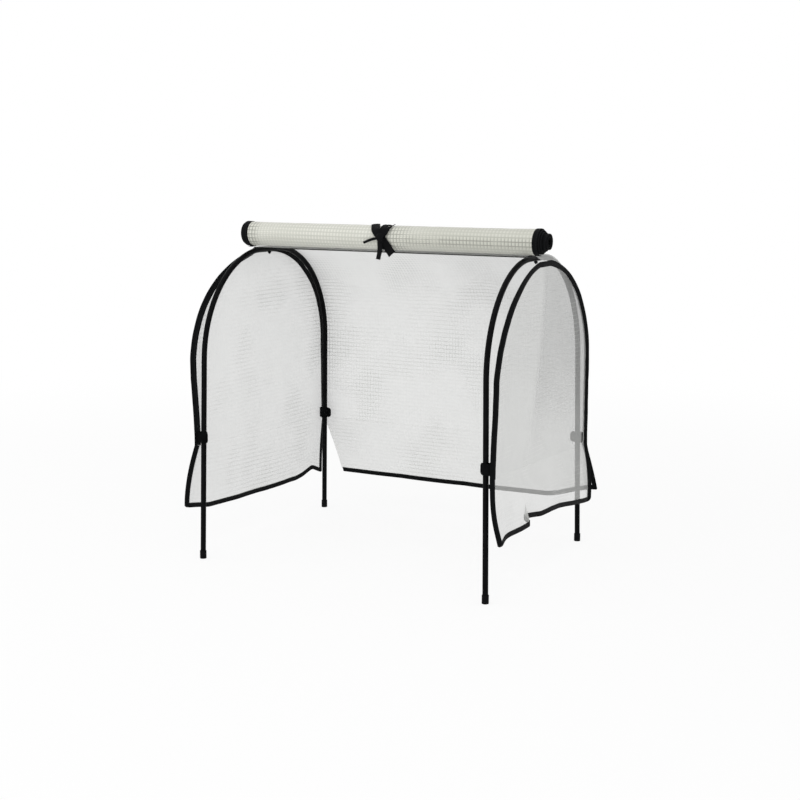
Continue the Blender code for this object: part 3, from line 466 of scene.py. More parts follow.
def strip_piece(name, frames, width, thickness):
    """A folded binding: a flat strip whose outer edge follows a line, rounded along that edge. Each
    frame holds a point of the line, its inward direction and the cloth's normal."""
    half = thickness / 2
    upper = [(width, half), (width * 0.55, half * 1.05), (0.0014, half), (0.0003, half * 0.55)]
    rings = []
    run = 0.0
    for step, (point, across, normal) in enumerate(frames):
        run += (point - frames[max(0, step - 1)][0]).length
        rings.append([
            (point + reach * across + lift * normal, (run, reach)) for reach, lift in both_faces(upper)
        ])
    return rings_piece(name, rings)


def flat_size(rows):
    """Width, length and area of a sheet's flat cut, from its UV values in metres."""
    flat = [[uv for _, uv in row] for row in rows]
    width, length = (max(values) - min(values) for values in zip(*sum(flat, [])))
    area = 0.0
    for low, high in zip(flat, flat[1:]):
        for a, b, c, d in zip(low, low[1:], high[1:], high):
            area += abs((c[0] - a[0]) * (d[1] - b[1]) - (d[0] - b[0]) * (c[1] - a[1])) / 2
    return (width, length), min(area, width * length)


def smooth_step(value):
    """0 below 0, 1 above 1, and an S curve between."""
    value = min(1.0, max(0.0, value))
    return value * value * (3 - 2 * value)


def spread(first, last, steps):
    """Evenly spaced values, both ends included."""
    return [first + (last - first) * step / steps for step in range(steps + 1)]


def stations(stops, steps):
    """Values through some stops, with a number of steps between each two."""
    values = [stops[0]]
    for first, last, count in zip(stops, stops[1:], steps):
        values += spread(first, last, count)[1:]
    return values


def table_value(table, share):
    """A value read from a table of shares and values, straight between its rows and softened."""
    total = 0.0
    for offset, weight in ((-0.012, 0.25), (0.0, 0.5), (0.012, 0.25)):
        where = min(table[-1][0], max(table[0][0], share + offset))
        for (low, low_value), (high, high_value) in zip(table, table[1:]):
            if where <= high:
                break
        total += weight * (low_value + (high_value - low_value) * (where - low) / (high - low))
    return total


def ripple(x, y, z, seed, size):
    """A smooth random value from -1 to 1 whose bumps are about a size apart."""
    return noise.noise(Vector((x / size + seed, y / size - seed, z / size)))


# The hoops


def hoop_point(run):
    """Centre line of a hoop at a run from the crown, negative to the front, and its outward normal."""
    side = -1.0 if run < 0 else 1.0
    angle = min(BEND, max(0.0, (abs(run) - HALF_FLAT) / SHOULDER_RADIUS))
    normal = Vector((0.0, side * math.sin(angle), math.cos(angle)))
    flat = min(abs(run), HALF_FLAT)
    centre = Vector((0.0, HOOP_Y + side * flat, SHOULDER_Z)) + SHOULDER_RADIUS * normal
    if abs(run) <= HALF_FLAT:
        centre.z = CROWN_HEIGHT
    leg = max(0.0, abs(run) - BEND_RUN)
    down = Vector((0.0, side * math.sin(LEG_SPLAY), -math.cos(LEG_SPLAY)))
    return centre + leg * down, normal


def run_at_height(height):
    """Run from the crown to a height on the straight leg."""
    return BEND_RUN + (BEND_END_Z - height) / math.cos(LEG_SPLAY)


def leg_centre(x_side, y_side, height):
    """Centre line of a leaning, splayed leg at a height."""
    point, _ = hoop_point(y_side * run_at_height(height))
    lean = (CROWN_HEIGHT - height) * math.tan(HOOP_LEAN)
    return Vector((x_side * (HOOP_SPAN / 2 + lean), point.y, height))


def draw_circle(name, radius, place, turn):
    """The ring of points that a tube is drawn from, left in edit mode."""
    deselect()
    bpy.ops.mesh.primitive_circle_add(vertices=TUBE_SIDES, radius=radius, location=place, rotation=turn)
    piece = bpy.context.object
    piece.name = name
    bpy.ops.object.mode_set(mode="EDIT")
    return piece


def extrude(x, y, z):
    """In edit mode, draw what is selected out by a move."""
    bpy.ops.mesh.extrude_region_move(TRANSFORM_OT_translate={"value": (x, y, z)})


def choose(piece, kind, test):
    """In edit mode, select just the points or faces that pass a test."""
    bpy.ops.mesh.select_all(action="DESELECT")
    bpy.ops.mesh.select_mode(type=kind)
    work = bmesh.from_edit_mesh(piece.data)
    for part in work.verts if kind == "VERT" else work.faces:
        if test(part):
            part.select = True
    work.select_flush(True)
    bmesh.update_edit_mesh(piece.data)


def finish_tube(piece, x_side, node):
    """Tip a tube of a hoop outward about its crown, as the hoop stands, and give it its wall."""
    crown = Matrix.Translation((x_side * HOOP_SPAN / 2, HOOP_Y, CROWN_HEIGHT))
    turn = Matrix.Rotation(-x_side * HOOP_LEAN, 4, "Y")
    piece.matrix_world = crown @ turn @ crown.inverted() @ piece.matrix_world
    pick(piece)
    bpy.ops.object.mode_set(mode="EDIT")
    bpy.ops.mesh.select_all(action="SELECT")
    bpy.ops.mesh.remove_doubles(threshold=0.00002)
    bpy.ops.mesh.normals_make_consistent(inside=False)
    bpy.ops.object.mode_set(mode="OBJECT")
    solid = piece.modifiers.new("wall", "SOLIDIFY")
    solid.thickness = TUBE_WALL
    solid.offset = -1.0
    bpy.ops.object.modifier_apply(modifier=solid.name)
    finish(piece, POWDER_COAT, "cover", [node])


def build_arch(label, x_side):
    """The bent arch: a circle drawn up the front leg, spun round both shoulders and down the back."""
    joint_run = run_at_height(LEG_JOINT_HEIGHT)
    start, _ = hoop_point(-joint_run)
    straight = joint_run - BEND_RUN
    rise = math.cos(LEG_SPLAY) * straight
    x = x_side * HOOP_SPAN / 2
    arch = draw_circle(f"{label}_hoop_arch", TUBE_RADIUS, (x, start.y, start.z), (-LEG_SPLAY, 0.0, 0.0))
    lean = math.sin(LEG_SPLAY) * straight
    for move, y in (((lean, rise), SHOULDER_Y), ((2 * HALF_FLAT, 0.0), HOOP_Y + HALF_FLAT)):
        extrude(0.0, *move)
        bpy.ops.mesh.spin(steps=BEND_STEPS, angle=BEND, center=(x, y, SHOULDER_Z), axis=(1.0, 0.0, 0.0))
    extrude(0.0, lean, -rise)
    finish_tube(arch, x_side, f"{label}_arch_tube")


def build_leg(label, word, x_side, y_side):
    """A leg tube: a circle drawn up from the cap, drawn in at its swage and up into the arch."""
    top, _ = hoop_point(y_side * run_at_height(LEG_JOINT_HEIGHT))
    up = Vector((0.0, -y_side * math.sin(LEG_SPLAY), math.cos(LEG_SPLAY)))
    foot = top - up * (top.z - CAP_FLOOR - TILT_ROOM) / math.cos(LEG_SPLAY)
    length = (top - foot).length - GAP
    foot.x = x_side * HOOP_SPAN / 2
    leg = draw_circle(f"{label}_{word}_leg", TUBE_RADIUS, foot, (y_side * LEG_SPLAY, 0.0, 0.0))
    extrude(*(up * (length - SWAGE)))
    extrude(*(up * SWAGE))
    shrink = (TUBE_RADIUS - TUBE_WALL - GAP) / TUBE_RADIUS
    bpy.ops.transform.resize(value=(shrink, shrink, 1.0), center_override=tuple(foot + up * length))
    extrude(*(up * SPIGOT_LENGTH))
    finish_tube(leg, x_side, f"{label}_{word}_leg_tube")


def build_cap(word, label, x_side, y_side):
    """A moulded foot cap: a cylinder inset and drawn down to a cup, with its edges rounded."""
    centre = leg_centre(x_side, y_side, CAP_HEIGHT / 2)
    deselect()
    bpy.ops.mesh.primitive_cylinder_add(vertices=40, radius=CAP_RADIUS, depth=CAP_HEIGHT, location=centre)
    cap = bpy.context.object
    cap.name = f"{word}_{label}_cap"
    bpy.ops.object.mode_set(mode="EDIT")
    choose(cap, "FACE", lambda face: face.normal.z > 0.9)
    bpy.ops.mesh.inset(thickness=CAP_RADIUS - TUBE_RADIUS - 0.0002)
    extrude(0.0, 0.0, CAP_FLOOR - CAP_HEIGHT)
    bpy.ops.object.mode_set(mode="OBJECT")
    bevel = cap.modifiers.new("round", "BEVEL")
    bevel.width = CAP_ROUND
    bevel.segments = 3
    bevel.limit_method = "ANGLE"
    bevel.angle_limit = math.radians(50)
    bpy.ops.object.modifier_apply(modifier=bevel.name)
    finish(cap, CAP_PLASTIC, "cover", [f"{word}_{label}_foot_cap"])


def build_ridge():
    """The ridge tube: a circle drawn along the ridge, pressed flat at both ends and closed."""
    axis_z = TAB_TOP - RIDGE_RADIUS
    tab_z = TAB_TOP - TAB_THICKNESS / 2
    neck_start = HOOP_SPAN / 2 - TAB_SETBACK - TAB_NECK
    # Reach past the neck's start, how flat it is there, and how far its rounded end has drawn in
    steps = [(TAB_NECK * share, smooth_step(share), 1.0) for share in spread(0.0, 1.0, 6)[1:]]
    for angle in spread(0.0, math.radians(72), 6):
        steps.append((TAB_NECK + TAB_SETBACK + TAB_WIDTH / 2 * math.sin(angle), 1.0, math.cos(angle)))
    ridge = draw_circle("ridge_bar", RIDGE_RADIUS, (-neck_start, HOOP_Y, axis_z), (0.0, math.pi / 2, 0.0))
    extrude(2 * neck_start, 0.0, 0.0)
    for x_side in (-1, 1):
        choose(ridge, "VERT", lambda vert: (ridge.matrix_world @ vert.co).x * x_side > neck_start - 0.001)
        x, height, half_width, middle = neck_start, RIDGE_RADIUS, RIDGE_RADIUS, axis_z
        for reach, flat, taper in steps:
            new_x = neck_start + reach
            new_height = RIDGE_RADIUS + (TAB_THICKNESS / 2 - RIDGE_RADIUS) * flat
            new_half = (RIDGE_RADIUS + (TAB_WIDTH / 2 - RIDGE_RADIUS) * flat) * taper
            new_middle = axis_z + (tab_z - axis_z) * flat
            extrude(x_side * (new_x - x), 0.0, new_middle - middle)
            bpy.ops.transform.resize(
                value=(1.0, new_half / half_width, new_height / height),
                center_override=(x_side * new_x, HOOP_Y, new_middle),
            )
            x, height, half_width, middle = new_x, new_height, new_half, new_middle
        bpy.ops.mesh.edge_face_add()
    bpy.ops.mesh.select_all(action="SELECT")
    bpy.ops.mesh.normals_make_consistent(inside=False)
    finish(ridge, POWDER_COAT, "cover", ["ridge_tube"])


# The cover


def shoulder_share(run):
    """How far round the shoulder's bend a run is, from 0 at the crown to 1 at the leg."""
    return min(1.0, max(0.0, (abs(run) - HALF_FLAT) / (BEND_RUN - HALF_FLAT)))


def cover_point(run, inset):
    """A point of the cover over the hoops at x = 0, moved inward by an inset."""
    centre, normal = hoop_point(run)
    slack = BACK_SLACK * smooth_step(shoulder_share(run)) if run > 0 else 0.0
    return centre + (COVER_RISE + slack - inset) * normal


FRONT_RUN = -run_at_height(CREASE_FRONT_Z)
BACK_RUN = run_at_height(CREASE_BACK_Z)
CREASE_FRONT_Y = cover_point(FRONT_RUN, 0.0).y
CREASE_BACK_Y = cover_point(BACK_RUN, 0.0).y
CREASE_LENGTH = math.hypot(CREASE_BACK_Y - CREASE_FRONT_Y, CREASE_FRONT_Z - CREASE_BACK_Z)
BACK_SKIRT_Y = cover_point(BACK_RUN, -GAP - TAPE / 2).y


def crease_z(y):
    """Height of the side crease, which falls towards the back."""
    share = (y - CREASE_FRONT_Y) / (CREASE_BACK_Y - CREASE_FRONT_Y)
    return CREASE_FRONT_Z + (CREASE_BACK_Z - CREASE_FRONT_Z) * share


def edge_fall(run, x_side):
    """How far an end panel's bound edge falls inside the cover's line over the hoops."""
    share = shoulder_share(run)
    sag = BACK_SAG[x_side] if run > 0 else FRONT_SAG[x_side]
    skew = 0.65 if run < 0 and x_side < 0 else 1.0
    fall = CROWN_FALL[x_side] * (1 - smooth_step(share)) + sag * math.sin(math.pi * share ** skew)
    if run < 0:
        leg = (-run - BEND_RUN) / (-FRONT_RUN - BEND_RUN)
        fall += LEG_FALL[x_side] * smooth_step(share) * (1 - smooth_step(leg))
    return fall


def edge_point(run, inset, x_side):
    """A point of an end panel's edge line at x = 0, moved inward by an inset and cut off at the
    crease where it is the first or the last."""
    point = cover_point(run, inset + edge_fall(run, x_side))
    if run in (FRONT_RUN, BACK_RUN):
        point.z = crease_z(point.y)
    return point


def edge_turn(run, x_side):
    """How far a bound edge turns about its own line: the front edges towards the right, and the
    right panel's back edge towards the left."""
    share = shoulder_share(run)
    if run < 0:
        start = 0.0 if x_side > 0 else 0.35
        return FRONT_EDGE_TURN * smooth_step((share - start) / (0.75 - start))
    return -BACK_EDGE_TURN * smooth_step(share / 0.4) if x_side > 0 else 0.0


def edge_shift(turn, x_side):
    """How far sideways a turned edge moves, so that it turns about a line within its width."""
    share = 0.58 if x_side < 0 else (0.15 if turn > 0 else 0.45)
    return -math.sin(turn) * TAPE_WIDTH * share


def end_panel_x(x_side, y, z):
    """Where an end panel stands: flat at its edges and folded softly between them."""
    across = (y - HOOP_Y) / (HOOP_DEPTH / 2)
    up = (z - crease_z(y)) / (CROWN_HEIGHT - crease_z(y))
    window = max(0.0, 1 - across ** 4) * math.sin(math.pi * min(1.0, max(0.0, up)))
    if x_side < 0:
        fold = 0.005 * (1 + math.cos(3 * math.pi * across)) / 2
    else:
        # It stands out more and more up to the pleat, and drops back behind it
        pleat = y - HOOP_Y + PLEAT_PLACE - PLEAT_SLANT * up
        fold = PLEAT_DEPTH * smooth_step((pleat + PLEAT_RISE) / PLEAT_RISE)
        fold *= 1 - smooth_step(pleat / PLEAT_DROP)
    fold += 0.0022 * ripple(y * 2.2, 0.0, z * 0.7, 3.0 + x_side, 0.16)
    fold += 0.0008 * ripple(y, 0.0, z, 7.0 + x_side, 0.045)
    return x_side * (END_PANEL_X + fold * window)


def build_end_panel(label, x_side):
    """An arched end panel of film, and the folded tape that binds its edge."""
    stops = (FRONT_RUN, -BEND_RUN, -HALF_FLAT, HALF_FLAT, BEND_RUN, BACK_RUN)
    runs = stations(stops, (9, 36, 6, 36, 9))
    aside = Vector((1.0, 0.0, 0.0))
    frames = []
    moves = []
    for run in runs:
        point = edge_point(run, 0.0, x_side)
        flat_inward = (edge_point(run, TAPE_WIDTH, x_side) - point) / TAPE_WIDTH
        wave = 0.0011 * ripple(run, 0.0, 0.0, 11.0 + x_side, 0.05)
        turn = edge_turn(run, x_side)
        shift = edge_shift(turn, x_side)
        x = end_panel_x(x_side, point.y, point.z) + wave + shift
        inward = math.cos(turn) * flat_inward + math.sin(turn) * aside
        out = x_side * (math.cos(turn) * aside - math.sin(turn) * flat_inward)
        frames.append((Vector((x, point.y, point.z)), inward, out))
        move = FILM_INSET * (inward - flat_inward) + shift * aside
        moves.append((point.y + FILM_INSET * flat_inward.y, point.z + FILM_INSET * flat_inward.z, move))
    tape = strip_piece(f"{label}_arch_binding", frames, ARCH_TAPE_WIDTH[x_side], TAPE)
    finish(tape, BINDING, "cover", [f"{label}_edge_tape"])

    tops = [edge_point(run, FILM_INSET, x_side) for run in runs if abs(run) <= BEND_RUN + 1e-9]
    first_y, last_y = (edge_point(run, FILM_INSET, x_side).y for run in (FRONT_RUN, BACK_RUN))
    rows = []
    for up in spread(0.0, 1.0, 64):
        row = []
        for top in tops:
            share = (top.y - tops[0].y) / (tops[-1].y - tops[0].y)
            y_low = first_y + (last_y - first_y) * share
            z_low = crease_z(y_low)
            y = y_low + (top.y - y_low) * up
            z = z_low + (top.z - z_low) * up
            # Near the binding, the film follows it as it turns
            near = min(moves, key=lambda item: (item[0] - y) ** 2 + (item[1] - z) ** 2)
            move = near[2] * (1 - smooth_step(math.hypot(near[0] - y, near[1] - z) / 0.06))
            row.append((Vector((end_panel_x(x_side, y, z), y, z)) + move, (y, z)))
        rows.append(row)
    panel = grid_piece(f"{label}_end_film", rows, flip=x_side < 0)
    finish(panel, FILM, "cover", [f"{label}_end_panel"], smooth=180.0)


def build_roof():
    """The sheet from behind the roll over the crowns and down the back, with its soft folds."""
    runs = stations((-ROOF_FRONT, HALF_FLAT, BEND_RUN, BACK_RUN), (8, 70, 36))
    fall_start = HOOP_SPAN / 2 + ROOF_FALL_START
    columns = stations((-ROOF_HALF_WIDTH, -fall_start, fall_start, ROOF_HALF_WIDTH), (12, 140, 12))
    rows = []
    for run in runs:
        behind = max(run, 0.0)
        point = cover_point(behind, -GAP - SHEET / 2)
        point.y += min(run, 0.0)
        if run == BACK_RUN:
            point.z = CREASE_BACK_Z
        _, normal = hoop_point(run)
        slack = BACK_SLACK * smooth_step(shoulder_share(behind))
        down = (run + ROOF_FRONT) / (BACK_RUN + ROOF_FRONT)
        row = []
        for x in columns:
            across = x / ROOF_HALF_WIDTH
            window = max(0.0, 1 - across ** 8) * math.sin(math.pi * down) ** 2
            fold = 0.006 * (1 + math.cos(5 * math.pi * across + math.pi * down)) / 2
            fold += 0.003 * ripple(x, 0.0, run * 0.4, 5.0, 0.13)
            fold += 0.0008 * ripple(x, 0.0, run, 9.0, 0.045)
            # It falls on to the hoops, and past them to the end panels' edges
            last_fall = edge_fall(behind, -1 if x < 0 else 1)
            near = (abs(x) - ROOF_TOUCH_START) / (HOOP_SPAN / 2 - ROOF_TOUCH_START)
            touch = min(last_fall, slack + ROOF_TOUCH_SLACK) * smooth_step(near)
            beyond = max(0.0, abs(x) - fall_start) / (ROOF_HALF_WIDTH - fall_start)
            fall = touch + (last_fall - touch) * beyond ** 0.7
            row.append((Vector((x, point.y, point.z)) + (fold * window - fall) * normal, (x, run)))
        rows.append(row)
    roof = grid_piece("roof_and_back_film", rows)
    finish(roof, FILM, "cover", ["roof_and_back_sheet"], smooth=180.0)


def flare_share(down):
    """How much of its flare a skirt has at a share of its drop."""
    return 1 - (1 - min(1.0, max(0.0, down))) ** FLARE_POWER


def side_skirt_point(x_side, along, drop):
    """A point of a side skirt from the distance along its crease and below it."""
    share = along / CREASE_LENGTH
    down = drop / SKIRT_DROP
    front, back = SIDE_FLARE[x_side]
    flare = (front + (back - front) * share) * flare_share(down)
    waves = math.sin(math.pi * share) * math.sin(3 * math.pi * share)
    fold = 0.006 * waves ** 2 * down
    fold += 0.003 * down * math.sin(math.pi * share) * ripple(along, 0.0, 0.0, 13.0 + x_side, 0.07)
    lift = table_value(HEM_LIFT[x_side], share) * down
    y = CREASE_FRONT_Y + (CREASE_BACK_Y - CREASE_FRONT_Y) * share + SIDE_BACK_SLANT * down * share
    z = CREASE_FRONT_Z + (CREASE_BACK_Z - CREASE_FRONT_Z) * share - drop + lift
    bulge = math.sin(math.pi * down)
    y -= SIDE_BULGE[x_side] * bulge * math.exp(-along / BULGE_REACH)
    y += SIDE_BACK_BULGE[x_side] * bulge * math.exp(-(CREASE_LENGTH - along) / BULGE_REACH)
    if x_side > 0:
        # The pleat laps over at the hem, and its front layer hangs outside
        lap = (along - HEM_FOLD * CREASE_LENGTH) / HEM_FOLD_WIDTH
        depth = smooth_step(2.2 * down - 1.1)
        y -= HEM_FOLD_LAP * lap * math.exp(0.5 - lap * lap / 2) * depth
        fold -= 0.006 * math.tanh(1.6 * lap) * math.exp(-lap * lap / 40) * depth
    x = x_side * (END_PANEL_X + flare + fold)
    # Its side edges turn as the end panel's do above them
    for run, from_edge, toward in ((FRONT_RUN, along, 1.0), (BACK_RUN, CREASE_LENGTH - along, -1.0)):
        turn = edge_turn(run, x_side)
        beyond = 1 - smooth_step((from_edge - FILM_INSET) / 0.05)
        reach = FILM_INSET * min(1.0, from_edge / FILM_INSET)
        x += (reach * math.sin(turn) + edge_shift(turn, x_side)) * beyond
        y += toward * reach * (math.cos(turn) - 1) * beyond
    return Vector((x, y, z))


def back_skirt_point(along, drop):
    """A point of the back skirt, whose corners hang skewed to the right."""
    share = along / (2 * ROOF_HALF_WIDTH)
    down = drop / SKIRT_DROP
    shift = (BACK_SHIFT[0] + (BACK_SHIFT[1] - BACK_SHIFT[0]) * share) * down
    lift = BACK_RIGHT_LIFT * smooth_step((share - 0.8) / 0.2) * down
    waves = math.sin(math.pi * share) * math.sin(4 * math.pi * share)
    y = BACK_SKIRT_Y + BACK_FLARE * flare_share(down) - 0.006 * abs(waves) * down
    y += 0.003 * down * ripple(along, 0.0, 0.0, 17.0, 0.08)
    return Vector((along - ROOF_HALF_WIDTH + shift, y, CREASE_BACK_Z - drop + lift))


def fold_stations(first, last, steps, middle):
    """Evenly spread stations along a skirt, with more of them through its folded pleat."""
    reach = 4 * HEM_FOLD_WIDTH
    values = spread(first, last, steps)
    if middle:
        values = [along for along in values if abs(along - middle) > reach]
        values = sorted(values + spread(middle - reach, middle + reach, 80))
    return values


def surface_frame(surface, along, drop, toward):
    """A surface's point, its unit direction towards another of its points, and its normal."""
    step = 0.0005
    point = surface(along, drop)
    side = surface(along + step, drop) - surface(along - step, drop)
    down = surface(along, drop + step) - surface(along, drop - step)
    normal = side.cross(down).normalized()
    inward = surface(*toward) - point
    inward -= inward.dot(normal) * normal
    return point, inward.normalized(), normal


def build_skirt(label, surface, length):
    """A free skirt of film below its crease, and the tape that binds its hem and its sides, but for
    the back skirt's left one."""
    middle = HEM_FOLD * CREASE_LENGTH if label == "right" else 0.0
    corner = HEM_CORNER.get(label, SQUARE_CORNER)
    route = []
    if label != "back":
        route += [(0.0, drop, TAPE_WIDTH, drop) for drop in spread(GAP, SKIRT_DROP - SQUARE_CORNER, 24)]
    hem = fold_stations(SQUARE_CORNER, length - corner, 150, middle)
    route += [(along, SKIRT_DROP, along, SKIRT_DROP - TAPE_WIDTH) for along in hem]
    if corner > SQUARE_CORNER:
        for angle in spread(0.0, math.pi / 2, 8)[1:-1]:
            across, down = math.sin(angle), math.cos(angle)
            along, drop = length - corner + corner * across, SKIRT_DROP - corner + corner * down
            route.append((along, drop, along - TAPE_WIDTH * across, drop - TAPE_WIDTH * down))
    route += [(length, drop, length - TAPE_WIDTH, drop) for drop in spread(SKIRT_DROP - corner, GAP, 24)]
    frames = [surface_frame(surface, along, drop, toward) for along, drop, *toward in route]
    # At the corners the strip turns over a few stations, as a mitred fold does
    turned = []
    for step, (point, _, normal) in enumerate(frames):
        near = [item[1] for item in frames[max(0, step - 1):step + 2]]
        turned.append((point, sum(near, Vector()).normalized(), normal))
    tape = strip_piece(f"{label}_skirt_binding", turned, TAPE_WIDTH, TAPE)
    finish(tape, BINDING, None, [f"{label}_skirt_tape"])

    first = 0.0 if label == "back" else FILM_INSET
    columns = fold_stations(first, length - FILM_INSET, 120, middle)
    drops = spread(0.0, SKIRT_DROP - FILM_INSET, 30)
    rows = [[(surface(along, drop), (along, -drop)) for along in columns] for drop in drops]
    film = grid_piece(f"{label}_skirt_film", rows, flip=label == "right")
    finish(film, FILM, None, [f"{label}_skirt"], smooth=180.0)
    for piece in (tape, film):
        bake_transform(piece)


# The rolled front flap


def roll_swell(x):
    """How full the roll is along its length: pinched by the ribbon, and fuller at its bound ends."""
    pinch = math.exp(-((x - TIE_X) / 0.024) ** 2)
    left = math.exp(-max(0.0, x - ROLL_LEFT_X) / 0.03)
    right = math.exp(-max(0.0, ROLL_RIGHT_X - x) / 0.05)
    return 0.985 - 0.075 * pinch + 0.055 * left + 0.05 * right


def roll_point(sweep, x, lift=0.0):
    """A point of the wound sheet at a sweep from the roll's outer end."""
    middle = ROLL_RADIUS - 0.0009
    angle = ROLL_LEAN - math.pi / 2 - sweep
    radius = (middle - ROLL_PITCH * sweep / (2 * math.pi)) * roll_swell(x) + lift
    near = math.exp(-abs(x - TIE_X) / 0.045)
    depth = max(0.0, 1 - sweep / (4 * math.pi))
    radius += depth * near * 0.0016 * math.cos(11 * angle + 40 * (x - TIE_X))
    radius += depth * 0.0006 * ripple(x, math.cos(angle) * 0.04, math.sin(angle) * 0.04, 21.0, 0.035)
    return Vector((x, ROLL_AXIS_Y + radius * math.cos(angle), ROLL_AXIS_Z + radius * math.sin(angle)))


def roll_left_end(sweep):
    """Left edge of the rolled flap, whose outer turns stand back a little."""
    return ROLL_LEFT_X + ROLL_LEFT_SHIFT * max(0.0, 1 - sweep / ROLL_SWEEP / 0.25)


def roll_right_end(sweep):
    """Right edge of the rolled flap, whose inner turns stand out further."""
    share = sweep / ROLL_SWEEP
    core = smooth_step((share - 0.45) / 0.15)
    return ROLL_RIGHT_X + ROLL_TURNS_SHIFT * min(1.0, share / 0.45) + ROLL_CORE_SHIFT * core


def build_roll():
    """The wound film and the tapes wound into its two ends."""
    sweeps = spread(0.0, ROLL_SWEEP, ROLL_STEPS)
    rows = []
    run = 0.0
    for sweep in sweeps:
        left = roll_left_end(sweep) + ROLL_LEFT_TAPE - SEAM
        right = roll_right_end(sweep) - FILM_INSET
        if sweep:
            run += (ROLL_RADIUS - ROLL_PITCH * sweep / (2 * math.pi)) * ROLL_SWEEP / ROLL_STEPS
        rows.append([(roll_point(sweep, x), (x, run)) for x in spread(left, right, 170)])
    film = grid_piece("rolled_flap_film", rows)
    finish(film, ROLLED_FILM, "flap_roll", ["front_flap_roll"], smooth=180.0)
    tapes = []
    for label, end, low, high in (
        ("left", roll_left_end, 0.0, ROLL_LEFT_TAPE), ("right", roll_right_end, -TAPE_WIDTH, 0.0),
    ):
        rings = []
        for sweep in sweeps:
            start, last = end(sweep) + low, end(sweep) + high
            run = sweep * (ROLL_RADIUS + ROLL_CORE_RADIUS) / 2
            section = both_faces([
                (start, 0.6), (start + ROLL_TAPE_RIM, 1.0), ((start + last) / 2, 1.05),
                (last - ROLL_TAPE_RIM, 1.0), (last, 0.6),
            ])
            rings.append([(roll_point(sweep, x, lift * TAPE / 2), (run, x - start)) for x, lift in section])
        tape = rings_piece(f"roll_{label}_binding", rings)
        tapes.append(finish(tape, BINDING, "flap_roll", [f"roll_{label}_tape"]))
    return film, flat_size(rows), tapes


def flap_stretch(word, places, lengths, runs, rights, nodes):
    """A stretch of the flap between two bodies: its film and the tape that binds both its sides.
    Its UV map holds the lengths; its runs are not used."""
    left = ROLL_LEFT_X + ROLL_LEFT_SHIFT
    tapes = []
    for label in ("left", "right"):
        rows = []
        for (point, normal), length, right in zip(places, lengths, rights):
            outer, inner = (left, left + TAPE_WIDTH) if label == "left" else (right, right - TAPE_WIDTH)
            columns = spread(min(outer, inner), max(outer, inner), 3)
            start = point + 0.0006 * normal
            rows.append([(start + Vector((x, 0.0, 0.0)), (length, abs(x - outer))) for x in columns])
        tape = grid_piece(f"flap_{word}_{label}_binding", rows, flip=True)
        tapes.append(finish(tape, BINDING, None, [], smooth=180.0))
    rows = []
    for (point, _), length, run, right in zip(places, lengths, runs, rights):
        columns = spread(left + FILM_INSET, right - FILM_INSET, 90)
        rows.append([(point + Vector((x, 0.0, 0.0)), (x, length)) for x in columns])
    film = grid_piece(f"flap_{word}_film", rows, flip=True)
    finish(film, FILM, None, nodes, smooth=180.0)
    for piece in (*tapes, film):
        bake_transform(piece)
    return film


def build_lead():
    """The flap's film from the roof sheet to the roll. Its last stretch and the strip under the roll
    are what the roll pays out: their UV map holds the length that they have when the flap is down."""
    rise = ROOF_Z + SHEET / 2 - CROWN_HEIGHT
    end_run = -HALF_FLAT - SHOULDER_RADIUS * ROLL_LEAN
    start_run = end_run + SHOULDER_RADIUS * PAYOUT_START
    growth = 1 + WRAP_TURN / PAYOUT_START
    runs = stations((-ROOF_FRONT, start_run, end_run), (10, 60))
    places = [(point + rise * normal, normal) for point, normal in map(hoop_point, runs)]
    lengths = [min(0.0, run - start_run) * growth + max(0.0, run - start_run) for run in runs]
    # Over the shoulder it draws in, clear of the right panel's edge
    shares = [max(0.0, start_run - run) / (start_run - end_run) for run in runs]
    draw = ROOF_HALF_WIDTH - FLAP_RIGHT_X
    rights = [ROOF_HALF_WIDTH - draw * smooth_step(share / 0.25) for share in shares]
    aside = Vector((HOOP_X, 0.0, 0.0))
    ends = (places[10][0] + aside, places[-1][0] + aside)
    lead = flap_stretch(
        "lead", places, lengths, runs, rights, ["front_flap_lead"]
    )

    along = Vector((0.0, -math.cos(ROLL_LEAN), -math.sin(ROLL_LEAN)))
    begin, normal = places[-1]
    shares = spread(0.0, 1.0, 48)
    places = [(begin + PAYOUT_REST * share * along, normal) for share in shares]
    lengths = [lengths[-1] - share * PAYOUT_LENGTH for share in shares]
    runs = [-share * PAYOUT_REST for share in shares]
    draw = ROLL_RIGHT_X - FLAP_RIGHT_X
    rights = [FLAP_RIGHT_X + draw * smooth_step((share - 0.9) / 0.1) for share in shares]
    ends = (ends[1], ends[1] + PAYOUT_REST * along)
    flap_stretch("payout", places, lengths, runs, rights, [])
    return lead


# The ribbon, and the straps


def ribbon_ring(point, side, half, out, run, profile):
    """A ring round a ribbon, from places across it in shares of its half width, and heights."""
    return [(point + side * half * a + out * height, (run, half * (1 + a))) for a, height in profile]


def curve_through(points, count):
    """Evenly spread points of a smooth curve through a few given ones."""
    line = []
    last = len(points) - 1
    for step in range(count + 1):
        where = step / count * last
        index = min(last - 1, int(where))
        part = where - index
        p0, p1, p2, p3 = (points[min(last, max(0, index + offset))] for offset in (-1, 0, 1, 2))
        curve = 2 * p1 + (p2 - p0) * part + (2 * p0 - 5 * p1 + 4 * p2 - p3) * part ** 2
        line.append(0.5 * (curve + (3 * p1 - p0 - 3 * p2 + p3) * part ** 3))
    return line


